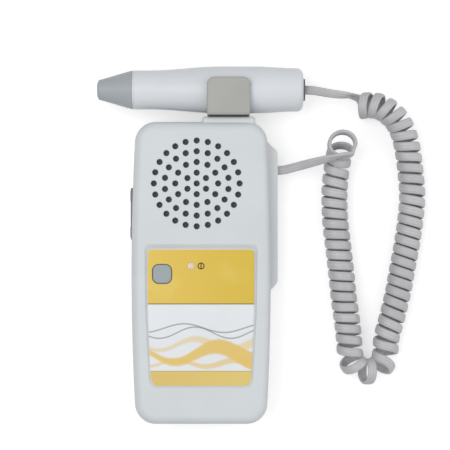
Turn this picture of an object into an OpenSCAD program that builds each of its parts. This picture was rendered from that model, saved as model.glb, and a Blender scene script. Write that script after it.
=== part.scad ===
// Handheld vascular doppler lying on its back: a moulded body with a speaker
// grille and keypad, a pencil probe parked in a U-shaped clip, and a curly lead.
// +Y points to the probe end, +X to the lead side and +Z out of the front face.

/* [Body] */
// Length of the body
body_l = 140; // [130:1:150]
// Width of the body at its two ends
body_w = 60.4; // [58:0.2:64]
// How far each long side bows out at its middle
side_bow = 2.1; // [1:0.1:3]
// Thickness of the body, front face to back face
body_t = 28; // [27.5:0.1:29]
// Height of the joint line between the two covers
split_z = 14; // [13.5:0.1:14.5]
// Wall thickness of the covers
wall = 2.2; // [2:0.05:2.4]
// Radius of the body's corners seen from the front
corner_r = 9; // [8:0.25:10]
// Radius that rounds the front and back edges
edge_r = 4.5; // [4:0.1:5]
// Shadow gap between the two covers
joint_gap = 0.4; // [0.2:0.05:0.6]

/* [Grille] */
// Diameter of one speaker hole
grille_hole_d = 2.8; // [2.4:0.1:3]
// Distance from one ring of holes to the next
grille_pitch = 4.95; // [4.6:0.05:5]
// Number of rings of holes round the middle one
grille_rings = 4; // [2:1:4]
// How far the grille lies to the left of the body's centre line
grille_dx = 2; // [0:0.5:3]
// Height of the grille's centre above the body's middle
grille_y = 41.4; // [40:0.2:42]

/* [Keypad label] */
// Width of the label
label_w = 49; // [47:0.5:50]
// Height of the label
label_h = 62.8; // [60:0.2:64]
// Top edge of the label above the body's middle
label_top = 10.8; // [10:0.2:12]
// Depth of the recess at the label's top edge
recess_deep = 1.4; // [1.2:0.05:1.5]
// Depth of the recess at the label's bottom edge
recess_shallow = 0.5; // [0.4:0.05:0.8]
// Thickness of the label sheet
label_t = 0.4; // [0.3:0.05:0.4]
// Side of the square power button
button_w = 8.6; // [8:0.1:9]
// Travel of the power button
button_travel = 0.8; // [0.5:0.05:0.9]
// Diameter of the indicator lamp
led_d = 3.1; // [2.8:0.1:3.2]

/* [Volume rocker] */
// Length of the rocker on the left side
rocker_l = 24; // [22:0.5:25]
// Height of the rocker
rocker_h = 5; // [4.5:0.1:5.5]
// How far the rocker stands out of the side
rocker_proud = 1; // [0.8:0.05:1.2]
// Radius of the rocker's pivot pin
rocker_pin_r = 1; // [0.9:0.05:1.1]

/* [Probe] */
// Distance from the body's middle to the probe's axis
probe_y = 85.5; // [85:0.1:86]
// Height of the probe's axis above the back face
probe_z = 14.6; // [14.5:0.05:14.7]
// Length of the grey tip
tip_l = 16.2; // [14:0.2:18]
// Radius of the probe's sounding face
tip_r = 4.45; // [4.2:0.05:5]
// Radius where the tip meets the white shell
neck_r = 9.1; // [8.8:0.05:9.4]
// Largest radius of the probe
grip_r = 10.95; // [10.7:0.05:11]
// Length of the white shell
shell_l = 79.2; // [76:0.2:82]
// Wall thickness of the probe shell
probe_wall = 1.8; // [1.6:0.05:2]
// Travel that lifts the probe clear of its clip
probe_lift = 32; // [28:1:40]

/* [Clip] */
// Width of the clip
clip_w = 20; // [18:0.5:22]
// Height of the clip's front finger
clip_h = 18.5; // [17:0.25:20]
// Thickness of the clip's fingers
finger_t = 2.7; // [2.5:0.05:2.8]
// Gap between the clip and the probe
clip_gap = 0.4; // [0.3:0.05:0.4]
// Centre of the clip right of the body's centre line
clip_x = 12.7; // [12:0.1:14]
// Width of the bracket under the clip
bracket_w = 25; // [24:0.5:27]
// Height of the bracket above the body's top
bracket_h = 2.6; // [2.4:0.1:2.8]

/* [Lead pod] */
// How far the pod stands out of the body's right side
pod_out = 3.5; // [3:0.1:4]
// Height of the lead's exit above the body's middle
exit_y = 47.9; // [46:0.2:50]
// Height of the lead's exit above the back face
exit_z = 7.6; // [7.5:0.05:7.8]

/* [Battery] */
// Length of the nine-volt block battery
battery_l = 48.5; // [47:0.5:49]
// Width of the battery
battery_w = 26.5; // [25.5:0.25:27]
// Thickness of the battery
battery_t = 17.2; // [16.8:0.1:17.4]
// Travel that slides the battery door off
door_travel = 62; // [60:1:70]

/* [Lead] */
// Width of the flat lead
lead_w = 4.2; // [4:0.05:4.3]
// Thickness of the flat lead
lead_t = 1.9; // [1.7:0.05:2]
// Whole curls in the lead
coil_turns = 49; // [44:1:50]
// Outer diameter of the curls
coil_d = 12.6; // [12:0.1:12.8]

/* [Hidden] */

// Clearances that the pieces share
seat = 0.1;
slide_gap = 0.3;
pin_gap = 0.05;
eps = 0.01;
round_fn = 48;

// Body outline
half_l = body_l / 2;
half_w = body_w / 2;
side_steps = 8;
corner_steps = 7;
arc_steps = 4;

// Half width of the body at a height y above its middle
function half_width(y) = half_w + side_bow * (1 - pow(y / half_l, 2));

// One corner of the outline: a quarter circle about a centre
function corner(cx, cy, r, from) =
    [for (i = [0:corner_steps]) [cx, cy] + r * [cos(from + 90 * i / corner_steps), sin(from + 90 * i / corner_steps)]];

// Straight run of points between two heights, ends left out
function side(x, from, to) =
    [for (i = [1:side_steps - 1]) [x, from + (to - from) * i / side_steps]];

// Outline of the body drawn in by an inset, its long sides bowed
function outline(inset) =
    let (r = corner_r - inset, cx = half_w - corner_r, cy = half_l - corner_r, x = half_w - inset)
    let (flat = concat(corner(cx, cy, r, 0), corner(-cx, cy, r, 90), side(-x, cy, -cy),
                       corner(-cx, -cy, r, 180), corner(cx, -cy, r, 270), side(x, -cy, cy)))
    [for (p = flat) [p[0] * half_width(p[1]) / half_w, p[1]]];

// Closed band whose wall section is a list of [inset, z] points
module band(section) {
    rings = [for (s = section) [for (p = outline(s[0])) [p[0], p[1], s[1]]]];
    m = len(section);
    n = len(rings[0]);
    faces = [for (i = [0:m - 1], j = [0:n - 1])
        let (a = i * n + j, b = i * n + (j + 1) % n, c = ((i + 1) % m) * n + (j + 1) % n, d = ((i + 1) % m) * n + j)
        each [[a, b, c], [a, c, d]]];
    polyhedron(points = [for (r = rings) each r], faces = faces);
}

// Wall section of the rear cover, from the joint down to the back plate
rear_section = concat(
    [[wall, split_z], [joint_gap, split_z], [0, split_z - joint_gap]],
    [for (i = [0:arc_steps]) let (a = 90 * i / arc_steps) [edge_r - edge_r * cos(a), edge_r - edge_r * sin(a)]],
    [for (i = [arc_steps:-1:0]) let (a = 90 * i / arc_steps, r = edge_r - wall) [edge_r - r * cos(a), edge_r - r * sin(a)]]);

// The front cover's section is the same shape turned over
front_section = [for (i = [len(rear_section) - 1:-1:0]) let (s = rear_section[i])
    [s[0], body_t - s[1] * (body_t - split_z) / split_z]];
front_inner = body_t - wall;

// Flat square with rounded corners
module round_square(w, h, r) {
    hull() for (x = [-1, 1], y = [-1, 1]) translate([x * (w / 2 - r), y * (h / 2 - r)]) circle(r, $fn = 32);
}

// Prism along +X from a profile drawn in the Y-Z plane
module along_x(x0, length) {
    translate([x0, 0, 0]) rotate([90, 0, 90]) linear_extrude(length) children();
}

// Cylinder along +X, +Y or +Z
module rod(p, axis, r, length) {
    turn = axis == "x" ? [0, 90, 0] : axis == "y" ? [-90, 0, 0] : [0, 0, 0];
    translate(p) rotate(turn) cylinder(r = r, h = length, $fn = round_fn);
}

// Box given by its low corner and its high corner
module block(lo, hi) {
    translate(lo) cube(hi - lo);
}

// Keypad
button_in = 6.5;
button_at = [button_in - label_w / 2, -0.4];
led_at = button_at + [13.4, 3.7];
button_gap = 0.35;
button_corner = 2.8;
flange_w = button_w + 2;
flange_t = 0.6;
tilt = atan((recess_deep - recess_shallow) / label_h);
label_taper = 1.4;
label_margin = 0.5;

// Label outline with its lower half drawn in and its bottom corners cut
function label_half(grow) = [
    [label_w / 2 + grow, label_top + grow], [label_w / 2 + grow, label_top - label_h * 0.45],
    [label_w / 2 - label_taper + grow, label_top - label_h + 3.6], [label_w / 2 - label_taper - 2.6 + grow, label_top - label_h - grow]];
function label_outline(grow) = concat(label_half(grow), [for (i = [3:-1:0]) [-label_half(grow)[i][0], label_half(grow)[i][1]]]);

// Moves children from a plane at z = 0 to the floor of the tilted recess
module on_recess(lift) {
    translate([0, label_top, body_t - recess_deep + lift]) rotate([-tilt, 0, 0]) translate([0, -label_top, 0]) children();
}

// Everything behind the keypad is stacked down from the front cover
flange_top = body_t - recess_deep - 1.1;
board_t = 1.6;
battery_z = wall + seat;
board_z = battery_z + battery_t + slide_gap;
board_top = board_z + board_t;

// Volume rocker on the left side
rocker_y = 27.4;
rocker_z = split_z + 5;
rocker_x = -half_width(rocker_y) - rocker_proud;
rocker_depth = rocker_proud + wall + 1.6;
pivot_x = rocker_x + rocker_depth;
rocker_gap = 0.6;
rocker_tilt = 2.5;

// Speaker behind the grille
speaker_at = [-grille_dx, grille_y];
speaker_r = 20;
cloth_r = 21.4;
cloth_t = 0.5;
speaker_top = front_inner - cloth_t - seat;
speaker_h = 9;
magnet_r = 12;
magnet_h = 6;

// Clip and bracket
clip_low = half_l + bracket_h + 0.6;
cradle_r = grip_r + clip_gap;
finger_front = probe_z + cradle_r + finger_t;
finger_back = probe_z - cradle_r - finger_t;

// Pod on the right side and the socket in it
pod_x = half_width(0) + pod_out;
pod_top_y = 61.6;
pod_low_y = -9;
pod_z = 2.1;
jack = [14, 11.4, 8.6];
plug = [12, 9.6, 6.4];
jack_x = pod_x - wall - jack[0];
plug_x = jack_x + 1.6;

// Battery and its door
battery_y0 = -half_l + 6.4;
door_w = battery_w + 1;
door_top = battery_y0 + battery_l + 5;
tongue = 1;
battery_rib = 1.4;
rib_x = door_w / 2 + tongue + 0.15;

// Screws
case_screw_at = [half_w - 7.8, half_l - 9];
board_screw_in = [3.5, 6];
board_low = -57;
board_high = 14;
board_w = 49;
well_floor = 2.2;
head_h = 1.3;

// Corners of a rectangle about the body's middle
function four(p) = [for (x = [-1, 1], y = [-1, 1]) [x * p[0], y * p[1]]];
board_holes = [for (x = [-1, 1], y = [board_low + board_screw_in[1], board_high - board_screw_in[1]])
    [x * (board_w / 2 - board_screw_in[0]), y]];

// Probe
seam_x = tip_l - 48.2;
tip_x = seam_x - tip_l;
shell_x = seam_x + 0.4;
end_x = shell_x + shell_l;
plate_t = 0.9;
plate_r = 5.25;
plate_x = end_x + plate_t;
spigot_l = 6;

// Smooth step from 0 to 1 between two places
function ease(s, a, b) = let (u = max(0, min(1, (s - a) / (b - a)))) u * u * (3 - 2 * u);

// Radius of the white shell at a distance from the seam
function shell_r(s) = neck_r + (grip_r - neck_r) * ease(s, 8, 40) - 0.8 * ease(s, shell_l - 22, shell_l - 4);
shell_steps = 22;
end_round = 3;

module front_cover() color("#d0d4d8") {
    difference() {
        union() {
            band(front_section);
            translate([0, 0, front_inner]) linear_extrude(wall) difference() {
                polygon(outline(edge_r));
                for (k = [0:grille_rings], i = [0:max(0, 6 * k - 1)])
                    let (a = k == 0 ? 0 : 90 + 60 * i / k, r = k * grille_pitch)
                    translate(speaker_at + r * [cos(a), sin(a)]) circle(d = grille_hole_d, $fn = 24);
                translate(button_at) round_square(button_w + 2 * button_gap, button_w + 2 * button_gap, button_corner + button_gap);
                translate(led_at) circle(led_d / 2 + seat, $fn = 24);
            }
            for (p = four(case_screw_at))
                rod([p[0], p[1], split_z + seat], "z", 2.8, front_inner - split_z - seat + eps);
        }
        on_recess(0) linear_extrude(recess_deep + 5) polygon(label_outline(label_margin));
        for (p = four(case_screw_at)) rod([p[0], p[1], split_z], "z", 1.1, 8);
        block([-half_w - 10, rocker_y - rocker_l / 2 - rocker_gap, rocker_z - rocker_h / 2 - slide_gap],
              [pivot_x + 1, rocker_y + rocker_l / 2 + rocker_gap, rocker_z + rocker_h / 2 + slide_gap]);
        tongue_space();
    }
}

module rear_cover() color("#c8ccd0") {
    difference() {
        union() {
            band(rear_section);
            linear_extrude(wall) polygon(outline(edge_r));
            side_pod();
            for (p = four(case_screw_at)) rod([p[0], p[1], wall - eps], "z", 2.8, split_z - wall + eps);
            for (p = board_holes) rod([p[0], p[1], wall - eps], "z", 2.6, board_z - wall + eps);
            for (x = [-rib_x - battery_rib, rib_x])
                block([x, battery_y0, wall - eps], [x + battery_rib, door_top, board_z]);
            block([-rib_x - battery_rib, door_top + seat, wall - eps], [rib_x + battery_rib, door_top + battery_rib, board_z]);
        }
        for (p = four(case_screw_at)) {
            rod([p[0], p[1], -1], "z", 1.35, split_z + 2);
            rod([p[0], p[1], -1], "z", 2.3, well_floor + 1);
        }
        for (p = board_holes) rod([p[0], p[1], board_z - 8], "z", 0.9, 9);
        block([-door_w / 2, -half_l - 1, -1], [door_w / 2, door_top, wall + eps]);
        block([-door_w / 2 - tongue, -half_l - 1, wall / 2], [door_w / 2 + tongue, door_top, wall + eps]);
        block([jack_x - seat, exit_y - jack[1] / 2 - seat, exit_z - jack[2] / 2 - seat],
              [jack_x + jack[0] + seat, exit_y + jack[1] / 2 + seat, exit_z + jack[2] / 2 + seat]);
        block([27, pod_low_y + 7, pod_z + wall], [pod_x - wall, exit_y - jack[1] / 2 - wall, split_z - wall]);
        block([pod_x - wall - 1, exit_y - lead_w / 2 - slide_gap, exit_z - lead_t / 2 - slide_gap],
              [pod_x + 1, exit_y + lead_w / 2 + slide_gap, exit_z + lead_t / 2 + slide_gap]);
        tongue_space();
    }
}

// Bulge along the right side that houses the lead's socket
pod_outline = [[1, 61.6], [1.3, 60.2], [0.85, 59.2], [0.45, 58.2], [0.15, 57.2], [0, 55.8],
               [0, pod_low_y + 4.4], [0.25, pod_low_y + 3.2], [0.8, pod_low_y + 1.4], [1.4, pod_low_y]];
pod_layers = [[1.7, pod_z], [0.6, pod_z + 0.6], [0, pod_z + 2.2], [0, split_z - 0.8], [0.5, split_z - 0.1]];
module side_pod() {
    inner = 28.6;
    rim = [for (p = pod_outline) [pod_x - p[0] * pod_out, p[1]]];
    rings = [for (l = pod_layers)
        [for (p = concat(rim, [[inner, pod_low_y], [inner, pod_top_y]]))
            [p[0] > inner ? p[0] - l[0] : inner, p[1], l[1]]]];
    n = len(rings[0]);
    m = len(rings);
    walls = [for (i = [0:m - 2], j = [0:n - 1])
        let (a = i * n + j, b = i * n + (j + 1) % n, c = (i + 1) * n + (j + 1) % n, d = (i + 1) * n + j)
        each [[a, b, c], [a, c, d]]];
    caps = [[for (j = [n - 1:-1:0]) j], [for (j = [0:n - 1]) (m - 1) * n + j]];
    polyhedron(points = [for (r = rings) each r], faces = concat(walls, caps));
}

module label_panel() color("#dabd4f") {
    on_recess(0.02) linear_extrude(label_t) difference() {
        polygon(label_outline(0));
        translate(button_at) round_square(button_w + 2 * button_gap, button_w + 2 * button_gap, button_corner + button_gap);
        translate(led_at) circle(led_d / 2 + seat, $fn = 24);
    }
}

module power_button() color("#a0a6a8") {
    translate([button_at[0], button_at[1], flange_top - flange_t]) {
        linear_extrude(flange_t) round_square(flange_w, flange_w, button_corner);
        linear_extrude(body_t - 0.5 - flange_top + flange_t) round_square(button_w, button_w, button_corner);
        translate([0, 0, body_t - 0.5 - flange_top + flange_t - eps])
            linear_extrude(0.3) round_square(button_w - 1, button_w - 1, button_corner - 0.5);
    }
}

plunger_r = 1.7;
switch_h = 2.6;
plunger_deep = 1.2;
module switch_plunger() color("#303030") {
    z = board_top + switch_h - plunger_deep;
    rod([button_at[0], button_at[1], z], "z", plunger_r, flange_top - flange_t - z);
}

module power_switch() color("#404448") {
    difference() {
        block([button_at[0] - 3, button_at[1] - 3, board_top], [button_at[0] + 3, button_at[1] + 3, board_top + switch_h]);
        rod([button_at[0], button_at[1], board_top + switch_h - plunger_deep - button_travel - seat], "z", plunger_r + pin_gap, 5);
    }
}

module indicator_led() color("#e1cdcd") {
    dome_z = body_t - recess_deep - 1;
    rod([led_at[0], led_at[1], board_top], "z", led_d / 2 + 0.4, 1);
    rod([led_at[0], led_at[1], board_top], "z", led_d / 2 - 0.05, dome_z - board_top);
    translate([led_at[0], led_at[1], dome_z]) sphere(led_d / 2 - 0.05, $fn = round_fn);
}

hub_r = 2;
module volume_rocker() color("#808085") {
    difference() {
        translate([0, 0, rocker_z - rocker_h / 2]) linear_extrude(rocker_h) {
            x = rocker_x + rocker_proud + wall + 0.6;
            polygon([[x, rocker_y + rocker_l / 2], [rocker_x + 0.3, rocker_y + rocker_l / 2],
                     [rocker_x, rocker_y + rocker_l / 2 - 0.5], [rocker_x + 0.25, rocker_y + 3], [rocker_x + 0.25, rocker_y - 3],
                     [rocker_x, rocker_y - rocker_l / 2 + 2], [rocker_x + 0.4, rocker_y - rocker_l / 2 + 0.6],
                     [rocker_x + 1, rocker_y - rocker_l / 2], [x, rocker_y - rocker_l / 2]]);
            translate([pivot_x, rocker_y]) circle(hub_r, $fn = round_fn);
        }
        rod([pivot_x, rocker_y, rocker_z - rocker_h], "z", rocker_pin_r + pin_gap, 2 * rocker_h);
    }
}

ear_t = 1.2;
ear_z = rocker_h / 2 + 0.2;
back_x = pivot_x + 3.2;
module rocker_pin() color("#b0b0b0") {
    rod([pivot_x, rocker_y, rocker_z - ear_z - ear_t], "z", rocker_pin_r, 2 * (ear_z + ear_t));
}

module rocker_bracket() color("#d8d8d0") {
    difference() {
        union() {
            for (z = [rocker_z - ear_z - ear_t, rocker_z + ear_z])
                block([pivot_x - 1.4, rocker_y - 3, z], [back_x + eps, rocker_y + 3, z + ear_t]);
            block([back_x, rocker_y - 11, rocker_z - ear_z - ear_t], [back_x + ear_t, rocker_y + 11, front_inner]);
        }
        rod([pivot_x, rocker_y, rocker_z - 10], "z", rocker_pin_r + pin_gap, 20);
    }
}

module volume_switches() color("#404448") {
    for (y = [-8, 8]) {
        block([back_x - 2.4, rocker_y + y - 2.2, rocker_z - 2.2], [back_x, rocker_y + y + 2.2, rocker_z + 2.2]);
        rod([back_x - 3.2, rocker_y + y, rocker_z], "x", 1.1, 0.9);
    }
}

// Space in both covers for the bracket's tongue
tongue_w = 14;
tongue_h = 6;
module tongue_space() {
    block([clip_x - tongue_w / 2 - seat, half_l - wall - 1, probe_z - tongue_h / 2 - seat],
          [clip_x + tongue_w / 2 + seat, half_l + 1, probe_z + tongue_h / 2 + seat]);
}

module clip_bracket() color("#bcc0c1") {
    z0 = 4;
    difference() {
        union() {
            translate([clip_x, 0, z0]) linear_extrude(2 * (probe_z - z0)) {
                translate([-bracket_w / 2, half_l]) square([bracket_w, bracket_h / 2]);
                translate([0, half_l + bracket_h / 2]) round_square(bracket_w, bracket_h, bracket_h / 2 - eps);
            }
            block([clip_x - tongue_w / 2, half_l - wall - 2, probe_z - tongue_h / 2],
                  [clip_x + tongue_w / 2, half_l + eps, probe_z + tongue_h / 2]);
            block([clip_x - tongue_w / 2, half_l - wall - 2, probe_z - tongue_h / 2 - 2],
                  [clip_x + tongue_w / 2, half_l - wall - 0.3, probe_z + tongue_h / 2 + 2]);
        }
        for (z = [-8, 8]) rod([clip_x, half_l + 0.4, probe_z + z], "y", 1.15, 10);
    }
}

module probe_clip() color("#a8a9a3") {
    top_y = clip_low + clip_h;
    r = 4;
    difference() {
        intersection() {
            along_x(clip_x - clip_w / 2, clip_w) difference() {
                translate([clip_low, finger_back]) square([clip_h, finger_front - finger_back]);
                translate([probe_y, probe_z]) circle(cradle_r, $fn = 96);
                translate([probe_y, probe_z - cradle_r]) square([clip_h, 2 * cradle_r]);
            }
            translate([clip_x, 0, finger_back]) linear_extrude(finger_front - finger_back) hull() {
                for (x = [-1, 1]) translate([x * (clip_w / 2 - r), top_y - r]) circle(r, $fn = 32);
                translate([-clip_w / 2, clip_low + 0.9]) square([clip_w, 1]);
                translate([-clip_w / 2 + 0.9, clip_low]) square([clip_w - 1.8, 1]);
            }
        }
        for (z = [-8, 8]) {
            rod([clip_x, clip_low - 1, probe_z + z], "y", 1.2, 10);
            rod([clip_x, clip_low + 1.3, probe_z + z], "y", 2.1, 10);
        }
    }
    rod([clip_x, half_l + bracket_h, probe_z], "y", 4, clip_low - half_l - bracket_h + 0.5);
}

module clip_screws() color("#c0c0c0") {
    for (z = [-8, 8]) {
        rod([clip_x, half_l + 0.5, probe_z + z], "y", 1.1, clip_low - half_l + 1);
        rod([clip_x, clip_low + 1.3, probe_z + z], "y", 2, 1);
    }
}

module speaker_frame() color("#505458") {
    r = speaker_r;
    translate([speaker_at[0], speaker_at[1], speaker_top]) rotate_extrude($fn = 64) polygon([
        [r, 0], [r, -1.4], [r - 2.6, -1.6], [magnet_r, -speaker_h], [5, -speaker_h], [5, -speaker_h + 1],
        [magnet_r - 0.7, -speaker_h + 1], [r - 3.2, -1.8], [r - 2.4, -0.8], [r - 2.4, 0]]);
}

module speaker_cone() color("#303030") {
    r = speaker_r - 2.5;
    translate([speaker_at[0], speaker_at[1], speaker_top]) rotate_extrude($fn = 64)
        polygon([[r, -0.1], [r, -0.7], [r - 1.8, -0.9], [4.4, -5.4], [4.4, -speaker_h + 1.2], [3.8, -speaker_h + 1.2],
                 [3.8, -5], [0, -4], [0, -3.5], [3, -4], [4.6, -4.9], [r - 2, -0.3], [r - 1, 0 - 0.05]]);
}

module speaker_magnet() color("#787878") {
    rod([speaker_at[0], speaker_at[1], speaker_top - speaker_h - magnet_h], "z", magnet_r, magnet_h);
}

module speaker_cloth() color("#202020") {
    rod([speaker_at[0], speaker_at[1], front_inner - cloth_t - 0.02], "z", cloth_r, cloth_t);
}

module main_board() color("#2f6b3c") {
    difference() {
        block([-board_w / 2, board_low, board_z], [board_w / 2, board_high, board_top]);
        for (p = board_holes) rod([p[0], p[1], board_z - 1], "z", 1.1, 4);
    }
}

// Chips on the board's grid: middle x and y, width, length and height
board_grid = 1;
chips = board_grid * [[2, -14, 10, 10, 1.4], [-12, -30, 8, 5, 1.2], [8, -34, 6, 4, 1.2], [14, -8, 5, 5, 2], [0, -46, 12, 6, 1.6]];
module board_chips() color("#26282a") {
    for (c = chips)
        block([c[0] - c[2] / 2, c[1] - c[3] / 2, board_top], [c[0] + c[2] / 2, c[1] + c[3] / 2, board_top + c[4]]);
}

module board_screws() color("#c0c0c0") {
    for (p = board_holes) {
        rod([p[0], p[1], board_z - 6], "z", 0.85, 6 + board_t + eps);
        rod([p[0], p[1], board_top], "z", 2, 1.2);
    }
}

module battery() color("#34383c") {
    y0 = battery_y0 + 0.5;
    translate([0, 0, battery_z]) intersection() {
        along_x(-battery_w / 2, battery_w) translate([y0 + (battery_l - 2.5) / 2, battery_t / 2])
            round_square(battery_l - 2.5, battery_t, 1.5);
        translate([0, 0, -1]) linear_extrude(battery_t + 2) translate([0, y0 + battery_l / 2]) round_square(battery_w, battery_l + 4, 2.5);
    }
}

module battery_terminals() color("#c8b070") {
    y = battery_y0 + 0.5 + battery_l - 2.5;
    z = battery_z + battery_t / 2;
    block([-battery_w / 2 + 1, y + 2.5, z - 6], [battery_w / 2 - 1, y + 4.2, z + 6]);
    for (x = [-6.35, 6.35]) rod([x, y, z], "y", 3, 2.5 + eps);
}

// Section of the battery door: flat, with the body's rounded edge at its low end
module battery_door() color("#c8ccd0") {
    a0 = asin(1 - wall / edge_r);
    lip = [for (i = [0:6]) let (a = a0 + (90 - a0) * i / 6) [edge_r - edge_r * cos(a) - half_l, edge_r - edge_r * sin(a)]];
    w = door_w - slide_gap;
    difference() {
        along_x(-w / 2, w) polygon(concat(lip, [[door_top - slide_gap, 0], [door_top - slide_gap, wall]]));
        for (i = [0:4]) block([-5, door_top - 9 - 2.4 * i, -1], [5, door_top - 7.6 - 2.4 * i, 0.5]);
    }
    for (x = [-w / 2 - tongue + eps, w / 2 - eps])
        block([x, -half_l + edge_r, wall / 2 + slide_gap / 2], [x + tongue, door_top - slide_gap, wall]);
}

module case_screws() color("#c0c0c0") {
    for (p = four(case_screw_at)) {
        rod([p[0], p[1], well_floor - eps], "z", 1.05, split_z + 4);
        rod([p[0], p[1], well_floor - head_h], "z", 2.1, head_h);
    }
}

module jack_socket() color("#303234") {
    difference() {
        block([jack_x, exit_y - jack[1] / 2, exit_z - jack[2] / 2], [jack_x + jack[0], exit_y + jack[1] / 2, exit_z + jack[2] / 2]);
        block([jack_x + 1.4, exit_y - plug[1] / 2 - seat, exit_z - plug[2] / 2 - seat],
              [jack_x + jack[0] + 1, exit_y + plug[1] / 2 + seat, exit_z + plug[2] / 2 + seat]);
        for (i = [-1.5:1.5]) block([jack_x - 1, exit_y + i * 1.27 - 0.3, exit_z - 0.3], [jack_x + 2, exit_y + i * 1.27 + 0.3, exit_z + 0.3]);
    }
}

module jack_contacts() color("#c8b070") {
    for (i = [-1.5:1.5]) block([jack_x - 2.5, exit_y + i * 1.27 - 0.25, exit_z - 0.25], [plug_x, exit_y + i * 1.27 + 0.25, exit_z + 0.25]);
}

module lead_plug() color("#e0e2e2") {
    block([plug_x, exit_y - plug[1] / 2, exit_z - plug[2] / 2], [plug_x + plug[0], exit_y + plug[1] / 2, exit_z + plug[2] / 2]);
}

// Turns a profile of [distance along the probe, radius] about the probe's axis
module turned(points) {
    translate([0, probe_y, probe_z]) rotate([0, 90, 0]) rotate_extrude($fn = 96) polygon([for (p = points) [p[1], p[0]]]);
}

module probe_shell() color("#d7dbde") {
    stop = shell_l - end_round;
    outer = [for (i = [0:shell_steps]) let (s = stop * i / shell_steps) [shell_x + s, shell_r(s)]];
    bend = [for (i = [1:6]) let (a = 90 * i / 6) [shell_x + stop + end_round * sin(a), shell_r(stop) - end_round * (1 - cos(a))]];
    inner = [for (i = [shell_steps:-1:0]) let (s = (shell_l - end_round) * i / shell_steps) [shell_x + s, shell_r(s) - probe_wall]];
    turned(concat(outer, bend, [[end_x, 3]], [[shell_x + stop, 3]], inner));
}

module probe_seal() color("#f0f0ee") {
    turned([[seam_x, neck_r - 0.1], [shell_x, neck_r - 0.1], [shell_x, neck_r - probe_wall + 0.05], [seam_x, neck_r - probe_wall + 0.05]]);
}

bore_r = 3.9;
bore_l = 9;
module probe_tip() color("#a3a8ab") {
    turned([[tip_x, bore_r], [tip_x, tip_r - 0.3], [tip_x + 0.3, tip_r], [seam_x - 0.3, neck_r], [seam_x, neck_r - 0.2],
            [seam_x, neck_r - probe_wall - seat], [seam_x + spigot_l, neck_r - probe_wall - seat],
            [seam_x + spigot_l, neck_r - 2 * probe_wall], [seam_x - 2, neck_r - 2 * probe_wall], [tip_x + bore_l, bore_r]]);
}

lens_t = 1.8;
lens_proud = 0.4;
crystal_t = 0.5;
module acoustic_lens() color("#8c9094") {
    turned([[tip_x - lens_proud, 0], [tip_x - lens_proud, bore_r - 0.4], [tip_x - 0.1, bore_r - 0.05],
            [tip_x + lens_t, bore_r - 0.05], [tip_x + lens_t, 0]]);
}

module crystals() color("#d8c8a0") {
    x = tip_x + lens_t;
    for (side = [0, 180]) translate([x, probe_y, probe_z]) rotate([side, 0, 0]) rotate([0, 90, 0])
        linear_extrude(crystal_t) intersection() {
            circle(bore_r - 0.3, $fn = round_fn);
            translate([-bore_r, 0.2]) square([2 * bore_r, bore_r]);
        }
}

module backing_block() color("#404040") {
    x = tip_x + lens_t + crystal_t;
    turned([[x, 0], [x, bore_r - seat], [tip_x + bore_l, bore_r - seat], [tip_x + bore_l, 0]]);
}

narrow_l = 21;
probe_board_l = 58;
probe_chip = [8, 8, 1.4];
module probe_board() color("#2f6b3c") {
    x = seam_x + spigot_l + 0.5;
    r = neck_r - probe_wall - 0.2;
    for (b = [[x, x + narrow_l, r], [x + narrow_l - eps, x + probe_board_l, grip_r - probe_wall - 0.7]])
        block([b[0], probe_y - b[2], probe_z - board_t / 2], [b[1], probe_y + b[2], probe_z + board_t / 2]);
    block([x + probe_chip[0], probe_y - probe_chip[1] / 2, probe_z + board_t / 2 - eps],
          [x + 2 * probe_chip[0], probe_y + probe_chip[1] / 2, probe_z + board_t / 2 + probe_chip[2]]);
}

module probe_end_plate() color("#4a4c4e") {
    turned([[end_x, 0], [end_x, plate_r], [plate_x - 0.3, plate_r], [plate_x, plate_r - 0.3], [plate_x, 0]]);
}

clamp_l = 5;
clamp_r = 2.8;
module cord_clamp() color("#404448") {
    stop = shell_l - end_round;
    turned([[shell_x + stop - clamp_l, 0], [shell_x + stop - clamp_l, shell_r(stop) - probe_wall - seat],
            [shell_x + stop - seat, shell_r(stop) - probe_wall - seat], [shell_x + stop - seat, clamp_r],
            [end_x, clamp_r], [end_x, 0]]);
}

// Section of the flat lead: six points given across its width and its thickness
lead_bevel = 0.7;
lead_section = [[-lead_w / 2, 0], [lead_bevel - lead_w / 2, lead_t / 2], [lead_w / 2 - lead_bevel, lead_t / 2],
                [lead_w / 2, 0], [lead_w / 2 - lead_bevel, -lead_t / 2], [lead_bevel - lead_w / 2, -lead_t / 2]];

function unit(v) = v / norm(v);

// Closed tube through stations of [centre, direction across the width, direction across the thickness]
module flat_tube(stations) {
    m = len(stations);
    n = len(lead_section);
    points = [for (s = stations, p = lead_section) s[0] + p[0] * s[1] + p[1] * s[2]];
    walls = [for (i = [0:m - 2], j = [0:n - 1])
        let (a = i * n + j, b = i * n + (j + 1) % n, c = (i + 1) * n + (j + 1) % n, d = (i + 1) * n + j)
        each [[a, c, b], [a, d, c]]];
    caps = [for (j = [1:n - 2]) each [[0, j, j + 1], [(m - 1) * n, (m - 1) * n + j + 1, (m - 1) * n + j]]];
    polyhedron(points = points, faces = concat(walls, caps));
}

// Smooth curve through points, any number of values in each
function spline(p, steps) = concat([for (i = [0:len(p) - 2], j = [0:steps - 1])
    let (a = p[max(i - 1, 0)], b = p[i], c = p[i + 1], d = p[min(i + 2, len(p) - 1)], t = j / steps)
    0.5 * (2 * b + (c - a) * t + (2 * a - 5 * b + 4 * c - d) * t * t + (3 * b - a - 3 * c + d) * t * t * t)], [p[len(p) - 1]]);

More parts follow.
